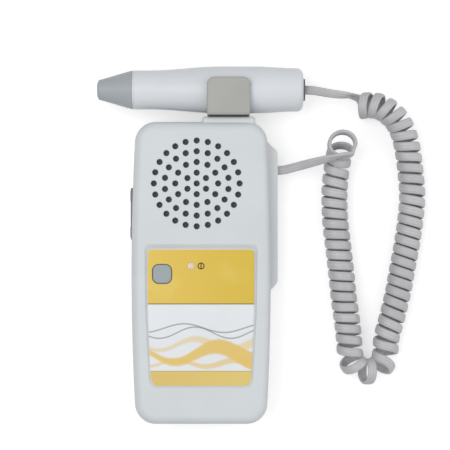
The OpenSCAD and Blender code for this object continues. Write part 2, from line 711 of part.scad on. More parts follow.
// Axis of the curls on the table: x, y, z and the spacing of the curls there
coil_r = (coil_d - lead_t) / 2;
coil_z = coil_d / 2 + 0.1;
close = 4.85;
bend_r = 10.5;
bend_at = [78.3, -36.4];
coil_route = concat(
    [[76.9, 78.9, coil_z, 5.6], [81.2, 77.2, coil_z, 5.8], [86.8, 74, coil_z, 5.8], [91.2, 69.8, coil_z, 5.6],
     [94.6, 64, coil_z, 5.4], [97, 56, coil_z, 5.2], [98.8, 46, coil_z, 5.1], [99.6, 36, coil_z, 5], [98.9, 26, coil_z, close],
     [97.2, 14, coil_z, close], [95, 2, coil_z, close], [92.8, -10, coil_z, close], [90.3, -22, coil_z, 5.4], [89, -30, coil_z, 9]],
    [for (a = [0:-30:-180]) [bend_at[0] + bend_r * cos(a), bend_at[1] + bend_r * sin(a), coil_z, 12]],
    [[67.8, -30, coil_z, 9], [67.9, -22, coil_z, 5.6], [67.2, -12, coil_z, close], [66, 0, coil_z, close], [64.6, 12, coil_z, close],
     [63.2, 24, coil_z, close], [62.8, 36, coil_z, close], [63.2, 43, coil_z, 5.2], [63.9, 48.4, coil_z + 0.4, 7.2],
     [64.7, 54, coil_z + 2.4, 8.6], [65.2, 58.4, coil_z + 6, 8.8], [65.5, 61, coil_z + 9.8, 8.6]]);
axis = spline(coil_route, 10);
axis_n = len(axis);
function at(i) = [axis[i][0], axis[i][1], axis[i][2]];
headings = [for (i = [0:axis_n - 1]) unit(at(min(i + 1, axis_n - 1)) - at(max(i - 1, 0)))];

// Turns made by each point of the axis, scaled to a whole count of eighths
turns_raw = [for (i = 0, t = 0; i < axis_n;
    t = t + (i < axis_n - 1 ? norm(at(i + 1) - at(i)) / ((axis[i][3] + axis[i + 1][3]) / 2) : 0), i = i + 1) t];
rings_per_turn = 8;
coil_rings = rings_per_turn * coil_turns + 5;
ring_scale = coil_rings / turns_raw[axis_n - 1];

// Side direction carried along the axis without twist
sides = [for (i = 0, v = unit(cross([0, 0, 1], headings[0])); i < axis_n;
    i = i + 1, v = i < axis_n ? unit(v - (v * headings[i]) * headings[i]) : v) v];

// Place on the axis where a ring lies, as a fraction of the axis points
ring_at = [for (i = [0:axis_n - 1]) [turns_raw[i] * ring_scale, i]];
function blend_of(list, f) = let (i = min(floor(f), axis_n - 2), t = f - i) list[i] * (1 - t) + list[i + 1] * t;
coil_phase = 0;

// One station on a circle about the axis, with its heading for the section
function coil_point(centre, heading, v, angle) = let (w = cross(heading, v))
    [centre + coil_r * (cos(angle) * v + sin(angle) * w), unit(cos(angle) * v + sin(angle) * w)];
function helix_point(k) = let (f = lookup(k, ring_at), c = blend_of(axis, f))
    coil_point([c[0], c[1], c[2]], unit(blend_of(headings, f)), unit(blend_of(sides, f)), coil_phase - 360 * k / rings_per_turn);

// The lead turns a quarter round as it leaves the first curl along the axis
entry_angle = 90;
entry_run = 10;
entry_steps = 5;
function entry_point(u) = let (turn = entry_angle * (2 * u - u * u), k0 = axis[0][3] / 2, run = k0 * u + (entry_run - k0) * u * u)
    coil_point(at(0) - run * headings[0], headings[0], sides[0], coil_phase + turn);
entry_end = entry_point(1);
entry = concat([for (d = [lead_w, lead_w / 2]) [entry_end[0] - d * headings[0], entry_end[1]]],
               [for (i = [entry_steps:-1:1]) entry_point(i / entry_steps)]);
helix = [for (k = [0:coil_rings]) helix_point(k)];
last = len(helix) - 1;
leave = unit(helix[last][0] - helix[last - 1][0]);
leave_tangent = unit(leave - 0.41 * helix[last][1]);
leave_run = [for (d = [lead_w / 2, lead_w]) [helix[last][0] + d * leave_tangent, helix[last][1]]];
coil_line = concat(entry, helix, leave_run);

// Stations with the section square to the line and its thickness facing outwards
function station(line, i) = let (
    u = unit(line[min(i + 1, len(line) - 1)][0] - line[max(i - 1, 0)][0]),
    e = unit(line[i][1] - (line[i][1] * u) * u))
    [line[i][0], cross(u, e), e];
coil_stations = [for (i = [0:len(coil_line) - 1]) station(coil_line, i)];

module cord_coil() color("#bebdbf") {
    flat_tube(coil_stations);
}

// A free stretch of the lead: a smooth route with given headings at its ends, and its width turning between them
function stretch(route, steps, from, to, first, final) = let (line = spline(route, steps), n = len(line) - 1)
    [for (i = [0:n]) let (
        u = i == 0 ? first : i == n ? final : unit(line[i + 1] - line[i - 1]),
        w = from * (1 - i / n) + to * (i / n),
        a = unit(w - (w * u) * u))
        [line[i], a, cross(a, u)]];

// From the probe's end plate to the first curl
lead_seam = 0.03;
coil_start = coil_line[0][0];
start_heading = unit(coil_line[1][0] - coil_start);
probe_route = [[plate_x + lead_seam, 85.4, probe_z], [plate_x + 5, 85.4, probe_z],
               coil_start - 4 * start_heading, coil_start - lead_seam * start_heading];
module cord_probe_lead() color("#bebdbf") {
    flat_tube(stretch(probe_route, 4, [0, -1, 0], coil_stations[0][1], [1, 0, 0], start_heading));
}

// From the last curl, down and through the pod's side to the plug
coil_end = coil_line[len(coil_line) - 1][0];
body_route = [coil_end + lead_seam * leave_tangent, coil_end + 4 * leave_tangent, [54, 53.6, 18.6], [47, 50.2, 13],
              [41.5, 48.3, 8.6], [37.5, exit_y, exit_z], [plug_x + plug[0] + lead_seam, exit_y, exit_z]];
module cord_body_lead() color("#bebdbf") {
    flat_tube(stretch(body_route, 3, coil_stations[len(coil_stations) - 1][1], [0, 1, 0], leave_tangent, [-1, 0, 0]));
}

front_cover();
rear_cover();
label_panel();
power_button();
switch_plunger();
power_switch();
indicator_led();
volume_rocker();
rocker_pin();
rocker_bracket();
volume_switches();
clip_bracket();
probe_clip();
clip_screws();
speaker_frame();
speaker_cone();
speaker_magnet();
speaker_cloth();
main_board();
board_chips();
board_screws();
battery();
battery_terminals();
battery_door();
case_screws();
jack_socket();
jack_contacts();
lead_plug();
probe_shell();
probe_seal();
probe_tip();
acoustic_lens();
crystals();
backing_block();
probe_board();
probe_end_plate();
cord_clamp();
cord_probe_lead();
cord_coil();
cord_body_lead();
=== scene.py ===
# %% [markdown]
# A handheld vascular doppler lies on its back: a pale moulded body, a pencil probe across a clip, and a curly
# lead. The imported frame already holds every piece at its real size. This file gives each visible piece its
# finish, and models again, with smooth rounded edges, the mouldings that the frame holds as flat facets.

# %% Load the frame
import math

import bmesh
import bpy
from mathutils import Matrix, Vector


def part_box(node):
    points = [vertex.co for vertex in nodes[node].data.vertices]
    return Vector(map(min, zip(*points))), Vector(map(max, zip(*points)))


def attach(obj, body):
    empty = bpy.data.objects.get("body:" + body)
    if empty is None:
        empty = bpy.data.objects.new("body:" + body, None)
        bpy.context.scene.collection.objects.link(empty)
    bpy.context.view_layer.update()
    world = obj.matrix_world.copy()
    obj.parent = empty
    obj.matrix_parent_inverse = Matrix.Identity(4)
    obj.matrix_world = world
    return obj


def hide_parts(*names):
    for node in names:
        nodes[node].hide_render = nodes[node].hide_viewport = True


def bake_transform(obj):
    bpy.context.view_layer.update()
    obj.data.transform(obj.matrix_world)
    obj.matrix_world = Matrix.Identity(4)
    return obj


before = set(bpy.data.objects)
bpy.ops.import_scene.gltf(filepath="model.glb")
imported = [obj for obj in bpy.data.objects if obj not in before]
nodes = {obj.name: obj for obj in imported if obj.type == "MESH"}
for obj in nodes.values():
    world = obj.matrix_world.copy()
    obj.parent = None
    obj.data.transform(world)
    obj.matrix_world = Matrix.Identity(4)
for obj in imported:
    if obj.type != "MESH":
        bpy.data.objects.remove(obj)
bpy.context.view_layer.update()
MM = 0.001


# %% Sizes of nodes, in millimetres
def box_mm(node):
    """Lowest and highest corner of a node in millimetres."""
    low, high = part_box(node)
    return Vector(low) / MM, Vector(high) / MM


rear_high = box_mm("rear_cover")[1]
front_low, front_high = box_mm("front_cover")
BODY_T = front_high.z
SPLIT_Z = front_low.z
HALF_L = front_high.y
MIDDLE_HALF_W = front_high.x
POD_X = rear_high.x
print(f"body {2 * HALF_L:.1f} mm long, {BODY_T:.1f} mm thick, joint at {SPLIT_Z:.1f} mm")


def add_object(name, data):
    """An object of any kind, linked to the scene."""
    made = bpy.data.objects.new(name, data)
    bpy.context.scene.collection.objects.link(made)
    return made


# %% [markdown]
# The camera looks straight down on the front face, as the photograph does. A long lens keeps the sides of the
# body out of sight. One pixel of the 450-pixel frame is 0.4667 mm in a plane a little above the covers' joint,
# and the body's middle lies left of the picture's middle and below it.

# %% Camera
PX_MM = 0.4667
FRAME_PX = 450
BODY_MIDDLE_PX = (201.3, 272.6)
LENS = 150
SENSOR = 36
FACE_PLANE_Z = SPLIT_Z + 4
view_x = (FRAME_PX / 2 - BODY_MIDDLE_PX[0]) * PX_MM
view_y = (BODY_MIDDLE_PX[1] - FRAME_PX / 2) * PX_MM
distance = FRAME_PX * PX_MM * LENS / SENSOR
camera_data = bpy.data.cameras.new("camera")
camera_data.lens = LENS
camera_data.sensor_width = SENSOR
camera = add_object("camera", camera_data)
camera.location = (view_x * MM, view_y * MM, (FACE_PLANE_Z + distance) * MM)
bpy.context.scene.camera = camera
bpy.context.scene.view_settings.view_transform = "Standard"
print(f"camera {distance:.0f} mm above the body")

# %% [markdown]
# Shader maths reads best as Python expressions. This small class wraps a node's output socket, so that
# `1 - mask * 0.3` adds the Math nodes itself. Every other node comes from `Sheet.node`, which sets the node's
# settings first and its sockets after.


# %% Socket wrapper for shader maths
class Socket:
    """An output socket that adds Math nodes when it meets an operator."""

    def __init__(self, sheet, socket):
        self.sheet = sheet
        self.socket = socket

    def math(self, operation, a, b=0.0, clamp=False):
        settings = {"operation": operation, "use_clamp": clamp}
        return self.sheet.node("ShaderNodeMath", settings, {0: a, 1: b})

    def __add__(self, other):
        return self.math("ADD", self, other)

    def __radd__(self, other):
        return self.math("ADD", other, self)

    def __sub__(self, other):
        return self.math("SUBTRACT", self, other)

    def __rsub__(self, other):
        return self.math("SUBTRACT", other, self)

    def __mul__(self, other):
        return self.math("MULTIPLY", self, other)

    def __rmul__(self, other):
        return self.math("MULTIPLY", other, self)

    def over(self, limit):
        """1 where the value is over the limit, else 0."""
        return self.math("GREATER_THAN", self, limit)

    def under(self, limit):
        """1 where the value is under the limit, else 0."""
        return self.math("LESS_THAN", self, limit)

    def ramp(self, start, end):
        """0 to 1 as the value goes from start to end, smoothly."""
        values = {"Value": self, 1: start, 2: end, 3: 0.0, 4: 1.0}
        return self.sheet.node("ShaderNodeMapRange", {"interpolation_type": "SMOOTHSTEP"}, values)

    def sine(self):
        return self.math("SINE", self)

    def size(self):
        return self.math("ABSOLUTE", self)


class Sheet:
    """The node tree of one material, or of the world, with its shader."""

    def __init__(self, name, blocks=bpy.data.materials, shader="Principled BSDF"):
        self.block = blocks.new(name)
        self.block.use_nodes = True
        self.tree = self.block.node_tree
        self.shader = self.tree.nodes[shader]

    def node(self, kind, settings=None, values=None, output=0):
        """A node of any kind: settings first, then the values or links of its sockets."""
        made = self.tree.nodes.new(kind)
        for key, value in (settings or {}).items():
            setattr(made, key, value)
        for key, value in (values or {}).items():
            self.feed(made.inputs[key], value)
        return Socket(self, made.outputs[output])

    def feed(self, target, value):
        if isinstance(value, Socket):
            self.tree.links.new(value.socket, target)
        else:
            target.default_value = value

    def set(self, **values):
        """Sets or links inputs of the shader; underscores stand for spaces."""
        for key, value in values.items():
            self.feed(self.shader.inputs[key.replace("_", " ")], value)

    def axes(self):
        """Object coordinates in millimetres, as three sockets."""
        point = self.node("ShaderNodeTexCoord", output=3)
        split = self.tree.nodes.new("ShaderNodeSeparateXYZ")
        self.feed(split.inputs[0], point)
        return [Socket(self, split.outputs[i]) * (1 / MM) for i in range(3)]

    def noise(self, per_mm, detail=3.0, stretch=(1, 1, 1)):
        """Noise on Object coordinates, with about per_mm grains in a millimetre."""
        point = self.node("ShaderNodeTexCoord", output=3)
        scaled = self.node("ShaderNodeMapping", {}, {"Vector": point, "Scale": stretch})
        values = {"Vector": scaled, "Scale": per_mm / MM, "Detail": detail}
        return self.node("ShaderNodeTexNoise", {}, values)

    def mix(self, factor, first, second):
        """Colour mix: first where the factor is 0, second where it is 1."""
        values = {0: factor, 6: first, 7: second}
        return self.node("ShaderNodeMix", {"data_type": "RGBA"}, values, output=2)

    def bump(self, height, depth_mm, strength=1.0):
        """Feeds the shader's Normal from a height and a depth in millimetres."""
        values = {"Height": height, "Distance": depth_mm * MM, "Strength": strength}
        self.set(Normal=self.node("ShaderNodeBump", {}, values))


def rgb(red, green, blue):
    """A colour written as 0 to 255 sRGB values, turned into the linear values shaders use."""
    def linear(value):
        value = value / 255
        return value / 12.92 if value <= 0.04045 else ((value + 0.055) / 1.055) ** 2.4
    return (linear(red), linear(green), linear(blue), 1.0)


# %% [markdown]
# Injection-moulded ABS has a fine spark-eroded texture, a faint flow mottling and slightly uneven gloss. The
# same recipe serves most pieces, with its colour, grain and gloss as parameters.


# %% Moulded plastics
def moulded(name, colour, shade=0.94, roughness=0.45, grain=2.2, depth=0.012, dust=0.0):
    """Textured moulded plastic: fine grain in its height, broad mottling in its colour and gloss."""
    sheet = Sheet(name)
    fine = sheet.noise(grain, detail=4.0)
    broad = sheet.noise(0.035, detail=2.0)
    darker = tuple(channel * shade for channel in colour[:3]) + (1.0,)
    paint = sheet.mix(broad.ramp(0.35, 0.65), darker, colour)
    if dust:
        specks = sheet.noise(0.9, detail=5.0).ramp(0.66, 0.72)
        paint = sheet.mix(specks * dust, paint, rgb(150, 148, 140))
    sheet.set(Base_Color=paint, Roughness=roughness + (fine - 0.5) * 0.12 + (broad - 0.5) * 0.1)
    sheet.shader.inputs["Specular IOR Level"].default_value = 0.35
    sheet.bump(fine, depth)
    return sheet.block


shell_white = moulded("shell_white", rgb(211, 216, 219), shade=0.97, roughness=0.44)
# Painted light: the rear cover is the same white as the front, painted lighter here to make up for the shade on
# the side pod. Its specks are dust.
rear_white_painted_light = moulded("rear_white_painted_light", rgb(222, 224, 226), shade=0.96, roughness=0.5, dust=0.08)
probe_white = moulded("probe_white", rgb(218, 222, 226), shade=0.975, roughness=0.34, depth=0.006)
clip_grey = moulded("clip_grey", rgb(172, 173, 168), shade=0.95, roughness=0.5, depth=0.016)
bracket_white = moulded("bracket_white", rgb(210, 214, 215), shade=0.96, roughness=0.48)
tip_grey = moulded("tip_grey", rgb(166, 172, 176), shade=0.95, roughness=0.38, depth=0.006)
button_grey = moulded("button_grey", rgb(158, 168, 170), shade=0.95, roughness=0.5, grain=3.0)
rocker_grey = moulded("rocker_grey", rgb(128, 128, 133), shade=0.92, roughness=0.62, grain=2.6, depth=0.02)
dark_plastic = moulded("dark_plastic", rgb(62, 64, 67), shade=0.85, roughness=0.55, depth=0.015)
# Painted shade: this dark finish is for the strip that stands in for the shade in the gap between clip and
# bracket.
gap_shade_black = moulded("gap_shade_black", rgb(60, 61, 62), shade=0.85, roughness=0.6, depth=0.015)
plate_dark = moulded("plate_dark", rgb(104, 103, 102), shade=0.9, roughness=0.5, depth=0.01)
# Painted highlight: the seal ring between tip and barrel is painted brighter than the barrel, for the bright
# line along the seam.
seam_white_painted_highlight = moulded("seam_white_painted_highlight", rgb(238, 240, 240), shade=0.98, roughness=0.3, depth=0.004)
print("plastics ready")

# %% [markdown]
# The keypad label is one printed polyester sheet. Its yellow block holds the button, the lamp and the on/off
# sign, a fine brown line closes it, and white runs down to a narrow yellow band. The white part carries a
# plain print of flowing yellow ribbons and two fine grey waves. It is drawn with maths on Object coordinates.

# %% Printed label
LABEL_YELLOW_LOW = -13.9
LABEL_LINE_LOW = -14.5
LABEL_BAND_TOP = -45.4
BAND_LINE_HALF = 0.16
FINE_LINE_HALF = 0.12
# middle height, swing, waves per mm, phase, half width, strength
RIBBONS = ((-37.5, 3.6, 0.16, 0.4, 3.0, 0.95), (-33.0, 2.6, 0.19, 2.1, 1.5, 0.55),
           (-41.6, 1.5, 0.23, 4.2, 1.0, 0.7))
# middle height, swing, waves per mm, phase
FINE_LINES = ((-27.5, 2.6, 0.19, 2.1), (-25.4, 2.0, 0.17, 2.9))


def off_wave(x, y, middle, swing, rate, phase):
    """Distance from a wave that runs across the label."""
    return (y - ((x * rate + phase).sine() * swing + middle)).size()


def ribbon(x, y, wave, half_width, strength):
    """Mask of one printed ribbon that follows a wave and thins to the left."""
    width = x.ramp(-26.0, 26.0) * half_width + half_width * 0.35
    away = off_wave(x, y, *wave) - width
    return (1 - away.ramp(-0.5, 0.9)) * strength


def printed_label():
    sheet = Sheet("label_print")
    x, y, _ = sheet.axes()
    ink = sheet.noise(0.05, detail=2.0)
    # Painted shading: the yellow runs from lighter at the lower left to darker at the right.
    yellow = sheet.mix((x + y * 0.4).ramp(-30.0, 26.0), rgb(223, 188, 68), rgb(214, 182, 46))
    yellow = sheet.mix(ink.ramp(0.45, 0.62) * 0.35, yellow, rgb(226, 200, 96))
    white = sheet.mix(ink.ramp(0.3, 0.7) * 0.4, rgb(226, 230, 233), rgb(218, 223, 228))
    print_colour = white
    for *wave, half_width, strength in RIBBONS:
        print_colour = sheet.mix(ribbon(x, y, wave, half_width, strength), print_colour, rgb(224, 190, 96))
    for wave in FINE_LINES:
        line = (1 - off_wave(x, y, *wave).ramp(FINE_LINE_HALF, 0.5)) * 0.75
        print_colour = sheet.mix(line, print_colour, rgb(118, 120, 124))
    band = sheet.mix(x.ramp(-24.0, 24.0), rgb(216, 186, 100), rgb(220, 196, 108))
    colour = sheet.mix(y.over(LABEL_BAND_TOP), band, print_colour)
    band_line = (y - (LABEL_BAND_TOP + 0.15)).size().under(BAND_LINE_HALF)
    colour = sheet.mix(band_line, colour, rgb(188, 156, 84))
    colour = sheet.mix(y.over(LABEL_LINE_LOW), colour, rgb(150, 126, 60))
    colour = sheet.mix(y.over(LABEL_YELLOW_LOW), colour, yellow)
    fine = sheet.noise(3.0, detail=2.0)
    sheet.set(Base_Color=colour, Roughness=0.3 + ink * 0.1)
    sheet.shader.inputs["Coat Weight"].default_value = 0.25
    sheet.shader.inputs["Coat Roughness"].default_value = 0.2
    sheet.bump(fine, 0.006)
    return sheet.block


label_print = printed_label()


# %% [markdown]
# The rest are small finishes: the lead's satin jacket with faint lengthwise drawing marks, whose hollows carry
# painted shade, woven cloth behind the grille, zinc-plated steel, brass contacts, green boards, and the cast
# lens at the probe's tip.


# %% Lead jacket
GROOVES = 4.4


def lead_jacket():
    sheet = Sheet("lead_jacket")
    fine = sheet.noise(1.6, detail=4.0)
    broad = sheet.noise(0.06, detail=2.0)
    colour = sheet.mix(broad.ramp(0.3, 0.7), rgb(180, 179, 182), rgb(194, 193, 196))
    across = sheet.node("ShaderNodeAttribute", {"attribute_name": "across"}, output=2)
    grooves = (across * GROOVES).sine().ramp(-1.0, -0.4)
    # Painted shade: the hollows of the drawing marks are painted darker.
    colour = sheet.mix(grooves, rgb(178, 177, 180), colour)
    sheet.set(Base_Color=colour, Roughness=0.44 + (fine - 0.5) * 0.14)
    sheet.bump(fine * 0.6 + grooves, 0.022)
    return sheet.block


lead_grey = lead_jacket()


# %% Cloth, metals and inner parts
def woven_cloth():
    sheet = Sheet("grille_cloth")
    x, y, _ = sheet.axes()
    threads = (x * 14.0).sine() * (y * 14.0).sine()
    colour = sheet.mix(threads.ramp(-0.6, 0.6), rgb(62, 65, 69), rgb(96, 100, 105))
    sheet.set(Base_Color=colour, Roughness=0.9)
    sheet.bump(threads, 0.05)
    return sheet.block


def plated(name, colour, roughness=0.32):
    sheet = Sheet(name)
    fine = sheet.noise(1.5, detail=4.0, stretch=(1, 1, 6))
    sheet.set(Base_Color=sheet.mix(fine, colour, tuple(c * 0.85 for c in colour[:3]) + (1.0,)),
              Roughness=roughness + fine * 0.15)
    sheet.shader.inputs["Metallic"].default_value = 1.0
    sheet.bump(fine, 0.004)
    return sheet.block


def board_green():
    sheet = Sheet("board_green")
    x, y, _ = sheet.axes()
    tracks = (x * 2.4).sine() * (y * 1.7).sine()
    colour = sheet.mix(tracks.ramp(0.2, 0.35), rgb(38, 92, 56), rgb(58, 118, 70))
    sheet.set(Base_Color=colour, Roughness=0.35 + sheet.noise(0.8) * 0.1)
    sheet.bump(tracks.ramp(0.2, 0.35), 0.03)
    return sheet.block


def lamp_epoxy():
    sheet = Sheet("lamp_epoxy")
    cloud = sheet.noise(0.9, detail=3.0)
    sheet.set(Base_Color=sheet.mix(cloud, rgb(226, 204, 190), rgb(218, 194, 178)), Roughness=0.22 + cloud * 0.1)
    sheet.shader.inputs["Coat Weight"].default_value = 0.4
    return sheet.block


grille_cloth = woven_cloth()
zinc_steel = plated("zinc_steel", rgb(186, 186, 188))
contact_brass = plated("contact_brass", rgb(206, 176, 108))
circuit_green = board_green()
lamp_pink = lamp_epoxy()
lens_resin = moulded("lens_resin", rgb(134, 140, 146), shade=0.94, roughness=0.2, depth=0.003)
ferrite = moulded("ferrite", rgb(84, 84, 88), shade=0.8, roughness=0.6, depth=0.03)
crystal_buff = moulded("crystal_buff", rgb(208, 194, 160), shade=0.92, roughness=0.4)
plug_clear = moulded("plug_clear", rgb(222, 224, 224), shade=0.96, roughness=0.2, depth=0.004)
battery_jacket = moulded("battery_jacket", rgb(70, 74, 80), shade=0.8, roughness=0.35, depth=0.006)
sign_brown = moulded("sign_brown", rgb(84, 48, 10), shade=0.9, roughness=0.4, depth=0.003)

# %% Finishes on the frame's own pieces
FINISHES = {
    label_print: ["label_panel"], grille_cloth: ["speaker_cloth"],
    zinc_steel: ["rocker_pin", "clip_screws", "board_screws", "case_screws"],
    contact_brass: ["battery_terminals", "jack_contacts"], circuit_green: ["main_board", "probe_board"],
    ferrite: ["speaker_magnet"], crystal_buff: ["crystals"], plug_clear: ["lead_plug"],
    lens_resin: ["acoustic_lens"], battery_jacket: ["battery"], seam_white_painted_highlight: ["probe_seal"],
    dark_plastic: ["switch_plunger", "power_switch", "rocker_bracket", "volume_switches", "speaker_frame",
                   "speaker_cone", "board_chips", "jack_socket", "backing_block", "cord_clamp"],
    rear_white_painted_light: ["battery_door"],
}
for finish, names in FINISHES.items():
    for name in names:
        slots = nodes[name].data.materials
        slots.clear()
        slots.append(finish)
print("finished", sum(len(names) for names in FINISHES.values()), "frame pieces")

# %% [markdown]
# Every moulding below ends the same way: doubles are merged, normals point outwards, the mesh moves from
# millimetres to metres, edges over 32 degrees stay sharp, and the piece rides on a body of the frame.


# %% Helpers for mesh pieces
SHARP_ANGLE = math.radians(32)


def smooth_object(bm, name, material):
    """Turns a bmesh into an object with one material and smooth faces."""
    mesh = bpy.data.meshes.new(name)
    bm.to_mesh(mesh)
    bm.free()
    mesh.materials.append(material)
    for face in mesh.polygons:
        face.use_smooth = True
    return add_object(name, mesh)


def finish_piece(bm, name, material, body, replaces=()):
    """Turns a bmesh in millimetres into a finished piece that rides on a body."""
    bmesh.ops.remove_doubles(bm, verts=bm.verts, dist=0.001)
    bmesh.ops.recalc_face_normals(bm, faces=bm.faces)
    bmesh.ops.scale(bm, vec=(MM, MM, MM), verts=bm.verts)
    piece = smooth_object(bm, name, material)
    piece.data.set_sharp_from_angle(angle=SHARP_ANGLE)
    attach(piece, body)
    if replaces:
        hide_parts(*replaces)
    return piece


def round_off(part, geom, radius, segments, affect="VERTICES", clamp=False):
    """Rounds corners or edges to a radius."""
    bmesh.ops.bevel(part, geom=geom, offset=radius, offset_type="OFFSET", affect=affect, segments=segments,
                    profile=0.5, material=-1, clamp_overlap=clamp)


def raise_face(part, height):
    """Pushes a flat outline up into a block and returns its upper vertices."""
    risen = bmesh.ops.extrude_face_region(part, geom=part.faces[:])
    upper = [item for item in risen["geom"] if isinstance(item, bmesh.types.BMVert)]
    bmesh.ops.translate(part, vec=(0, 0, height), verts=upper)
    return upper


def slab(bm, width, length, low, high, corner, centre=(0, 0), segments=10, edge=0.0, edge_segments=5):
    """Adds a plate with rounded corners and, with edge, a rounded top rim."""
    part = bmesh.new()
    bmesh.ops.create_grid(part, x_segments=1, y_segments=1, size=0.5)
    bmesh.ops.scale(part, vec=(width, length, 1), verts=part.verts)
    round_off(part, part.verts[:], corner, segments)
    top = raise_face(part, high - low)
    bmesh.ops.recalc_face_normals(part, faces=part.faces)
    if edge:
        rim = [e for e in part.edges if all(v in top for v in e.verts) and len(e.link_faces) == 2
               and abs(e.link_faces[0].normal.z - e.link_faces[1].normal.z) > 0.5]
        round_off(part, rim, edge, edge_segments, "EDGES")
    bmesh.ops.translate(part, vec=(centre[0], centre[1], low), verts=part.verts)
    join(bm, part)


def join(bm, part):
    """Moves the geometry of one bmesh into another."""
    holder = bpy.data.meshes.new("holder")
    part.to_mesh(holder)
    part.free()
    bm.from_mesh(holder)
    bpy.data.meshes.remove(holder)


def lathe(bm, profile, steps=96, axis="Z", at=(0, 0, 0)):
    """Spins a list of (radius, height) round an axis. Radius 0 at an end closes that end."""
    part = bmesh.new()
    line = [part.verts.new((radius, 0, height)) for radius, height in profile]
    edges = [part.edges.new((a, b)) for a, b in zip(line, line[1:])]
    bmesh.ops.spin(part, geom=line + edges, cent=(0, 0, 0), axis=(0, 0, 1), angle=math.tau,
                   steps=steps, use_merge=True)
    bmesh.ops.remove_doubles(part, verts=part.verts, dist=0.0005)
    bmesh.ops.recalc_face_normals(part, faces=part.faces)
    turn = Matrix.Rotation(math.pi / 2, 4, "Y") if axis == "X" else Matrix()
    bmesh.ops.transform(part, matrix=Matrix.Translation(at) @ turn, verts=part.verts)
    join(bm, part)


def cut(bm, cutter, mode="DIFFERENCE"):
    """Cuts one bmesh with another by the exact boolean, and returns the result."""
    pair = []
    for part in (bm, cutter):
        mesh = bpy.data.meshes.new("cut")
        part.to_mesh(mesh)
        part.free()
        pair.append(add_object("cut", mesh))
    modifier = pair[0].modifiers.new("cut", "BOOLEAN")
    modifier.operation = mode
    modifier.solver = "EXACT"
    modifier.object = pair[1]
    seen = pair[0].evaluated_get(bpy.context.evaluated_depsgraph_get())
    result = bmesh.new()
    result.from_mesh(seen.to_mesh())
    seen.to_mesh_clear()
    for piece in pair:
        mesh = piece.data
        bpy.data.objects.remove(piece)
        bpy.data.meshes.remove(mesh)
    return result


# %% [markdown]
# The two covers share one outline: a rounded rectangle whose long sides bow out a little. Each starts as a
# plate with round corners and a round rim, is divided across every 6 mm, and is bowed last by moving its
# vertices sideways. A smaller copy cut out of it leaves the wall.

# %% Body outline
END_HALF_W = 30.2
SIDE_BOW = MIDDLE_HALF_W - END_HALF_W
CORNER_R = 9
EDGE_R = 4.5
WALL = 2.2
SHADOW_GAP = 0.4
BOW_CUTS = range(-54, 55, 6)


def bow(verts):
    """Bows the long sides outwards, as the real outline is."""
    for vert in verts:
        vert.co.x *= 1 + SIDE_BOW / END_HALF_W * (1 - (vert.co.y / HALF_L) ** 2)


def cover_block(inset, low, high, edge):
    """Solid with the body's outline drawn in by an inset, its top rim rounded."""
    block = bmesh.new()
    slab(block, 2 * (END_HALF_W - inset), 2 * (HALF_L - inset), low, high, CORNER_R - inset,
         segments=14, edge=edge, edge_segments=10)
    for y in BOW_CUTS:
        bmesh.ops.bisect_plane(block, geom=block.verts[:] + block.edges[:] + block.faces[:],
                               plane_co=(0, y, 0), plane_no=(0, 1, 0))
    bow(block.verts)
    return block


# %% [markdown]
# The front cover carries the grille: one hole and four rings round it. Each hole has a small lead-in from the
# mould, so each cutter is a pin with a flared head.

# %% Front cover
GRILLE_AT = (-2, 41.4)
GRILLE_PITCH = 4.95
GRILLE_RINGS = 4
HOLE_R = 1.4
HOLE_FLARE = 0.22
BUTTON_AT = (-18, -0.4)
BUTTON_W = 8.6
BUTTON_CORNER = 2.8
BUTTON_GAP = 0.4
LAMP_AT = (-4.6, 3.3)
LAMP_R = 1.65
LABEL_TOP = 10.8
LABEL_H = 62.8
LABEL_HALF_W = 24.5
LABEL_DRAWN_IN = 1.4
RECESS_DEEP = 1.4
RECESS_SHALLOW = 0.5
RECESS_GAP = 0.5
TILT = math.atan((RECESS_DEEP - RECESS_SHALLOW) / LABEL_H)


def hole_places():
    """Centres of the grille's holes: one, then rings of 6, 12, 18 and 24."""
    yield GRILLE_AT
    for ring in range(1, GRILLE_RINGS + 1):
        for i in range(6 * ring):
            turn = math.radians(90 + 60 * i / ring)
            yield (GRILLE_AT[0] + ring * GRILLE_PITCH * math.cos(turn),
                   GRILLE_AT[1] + ring * GRILLE_PITCH * math.sin(turn))


def grille_pins():
    """Cutter of the grille: pins with flared heads."""
    pins = bmesh.new()
    head = HOLE_R + HOLE_FLARE
    profile = [(0, -4), (HOLE_R, -4), (HOLE_R, -HOLE_FLARE), (head, 0), (head, 1), (0, 1)]
    for x, y in hole_places():
        lathe(pins, profile, steps=20, at=(x, y, BODY_T))
    return pins


def label_outline(part, margin, round_top):
    """One face with the label's outline: square at the top, drawn in towards the bottom. Y runs down from 0."""
    top_half, low_half = LABEL_HALF_W + margin, LABEL_HALF_W - LABEL_DRAWN_IN + margin
    corners = [(top_half, margin), (top_half, -LABEL_H * 0.45), (low_half, 2.8 - LABEL_H - margin),
               (low_half - 1.7, -LABEL_H - margin)]
    corners += [(-x, y) for x, y in reversed(corners)]
    part.faces.new([part.verts.new((x, y, 0)) for x, y in corners])
    tops = [v for v in part.verts if v.co.y > margin - 0.01]
    round_off(part, tops, round_top, 6)
    lows = [v for v in part.verts if v.co.y < 3 - LABEL_H]
    round_off(part, lows, 0.8, 4)


def on_recess(part, lift=0.0):
    """Lays a part on the recess's tilted floor."""
    place = Matrix.Translation((0, LABEL_TOP, BODY_T - RECESS_DEEP + lift)) @ Matrix.Rotation(-TILT, 4, "X")
    bmesh.ops.transform(part, matrix=place, verts=part.verts)
    bmesh.ops.recalc_face_normals(part, faces=part.faces)


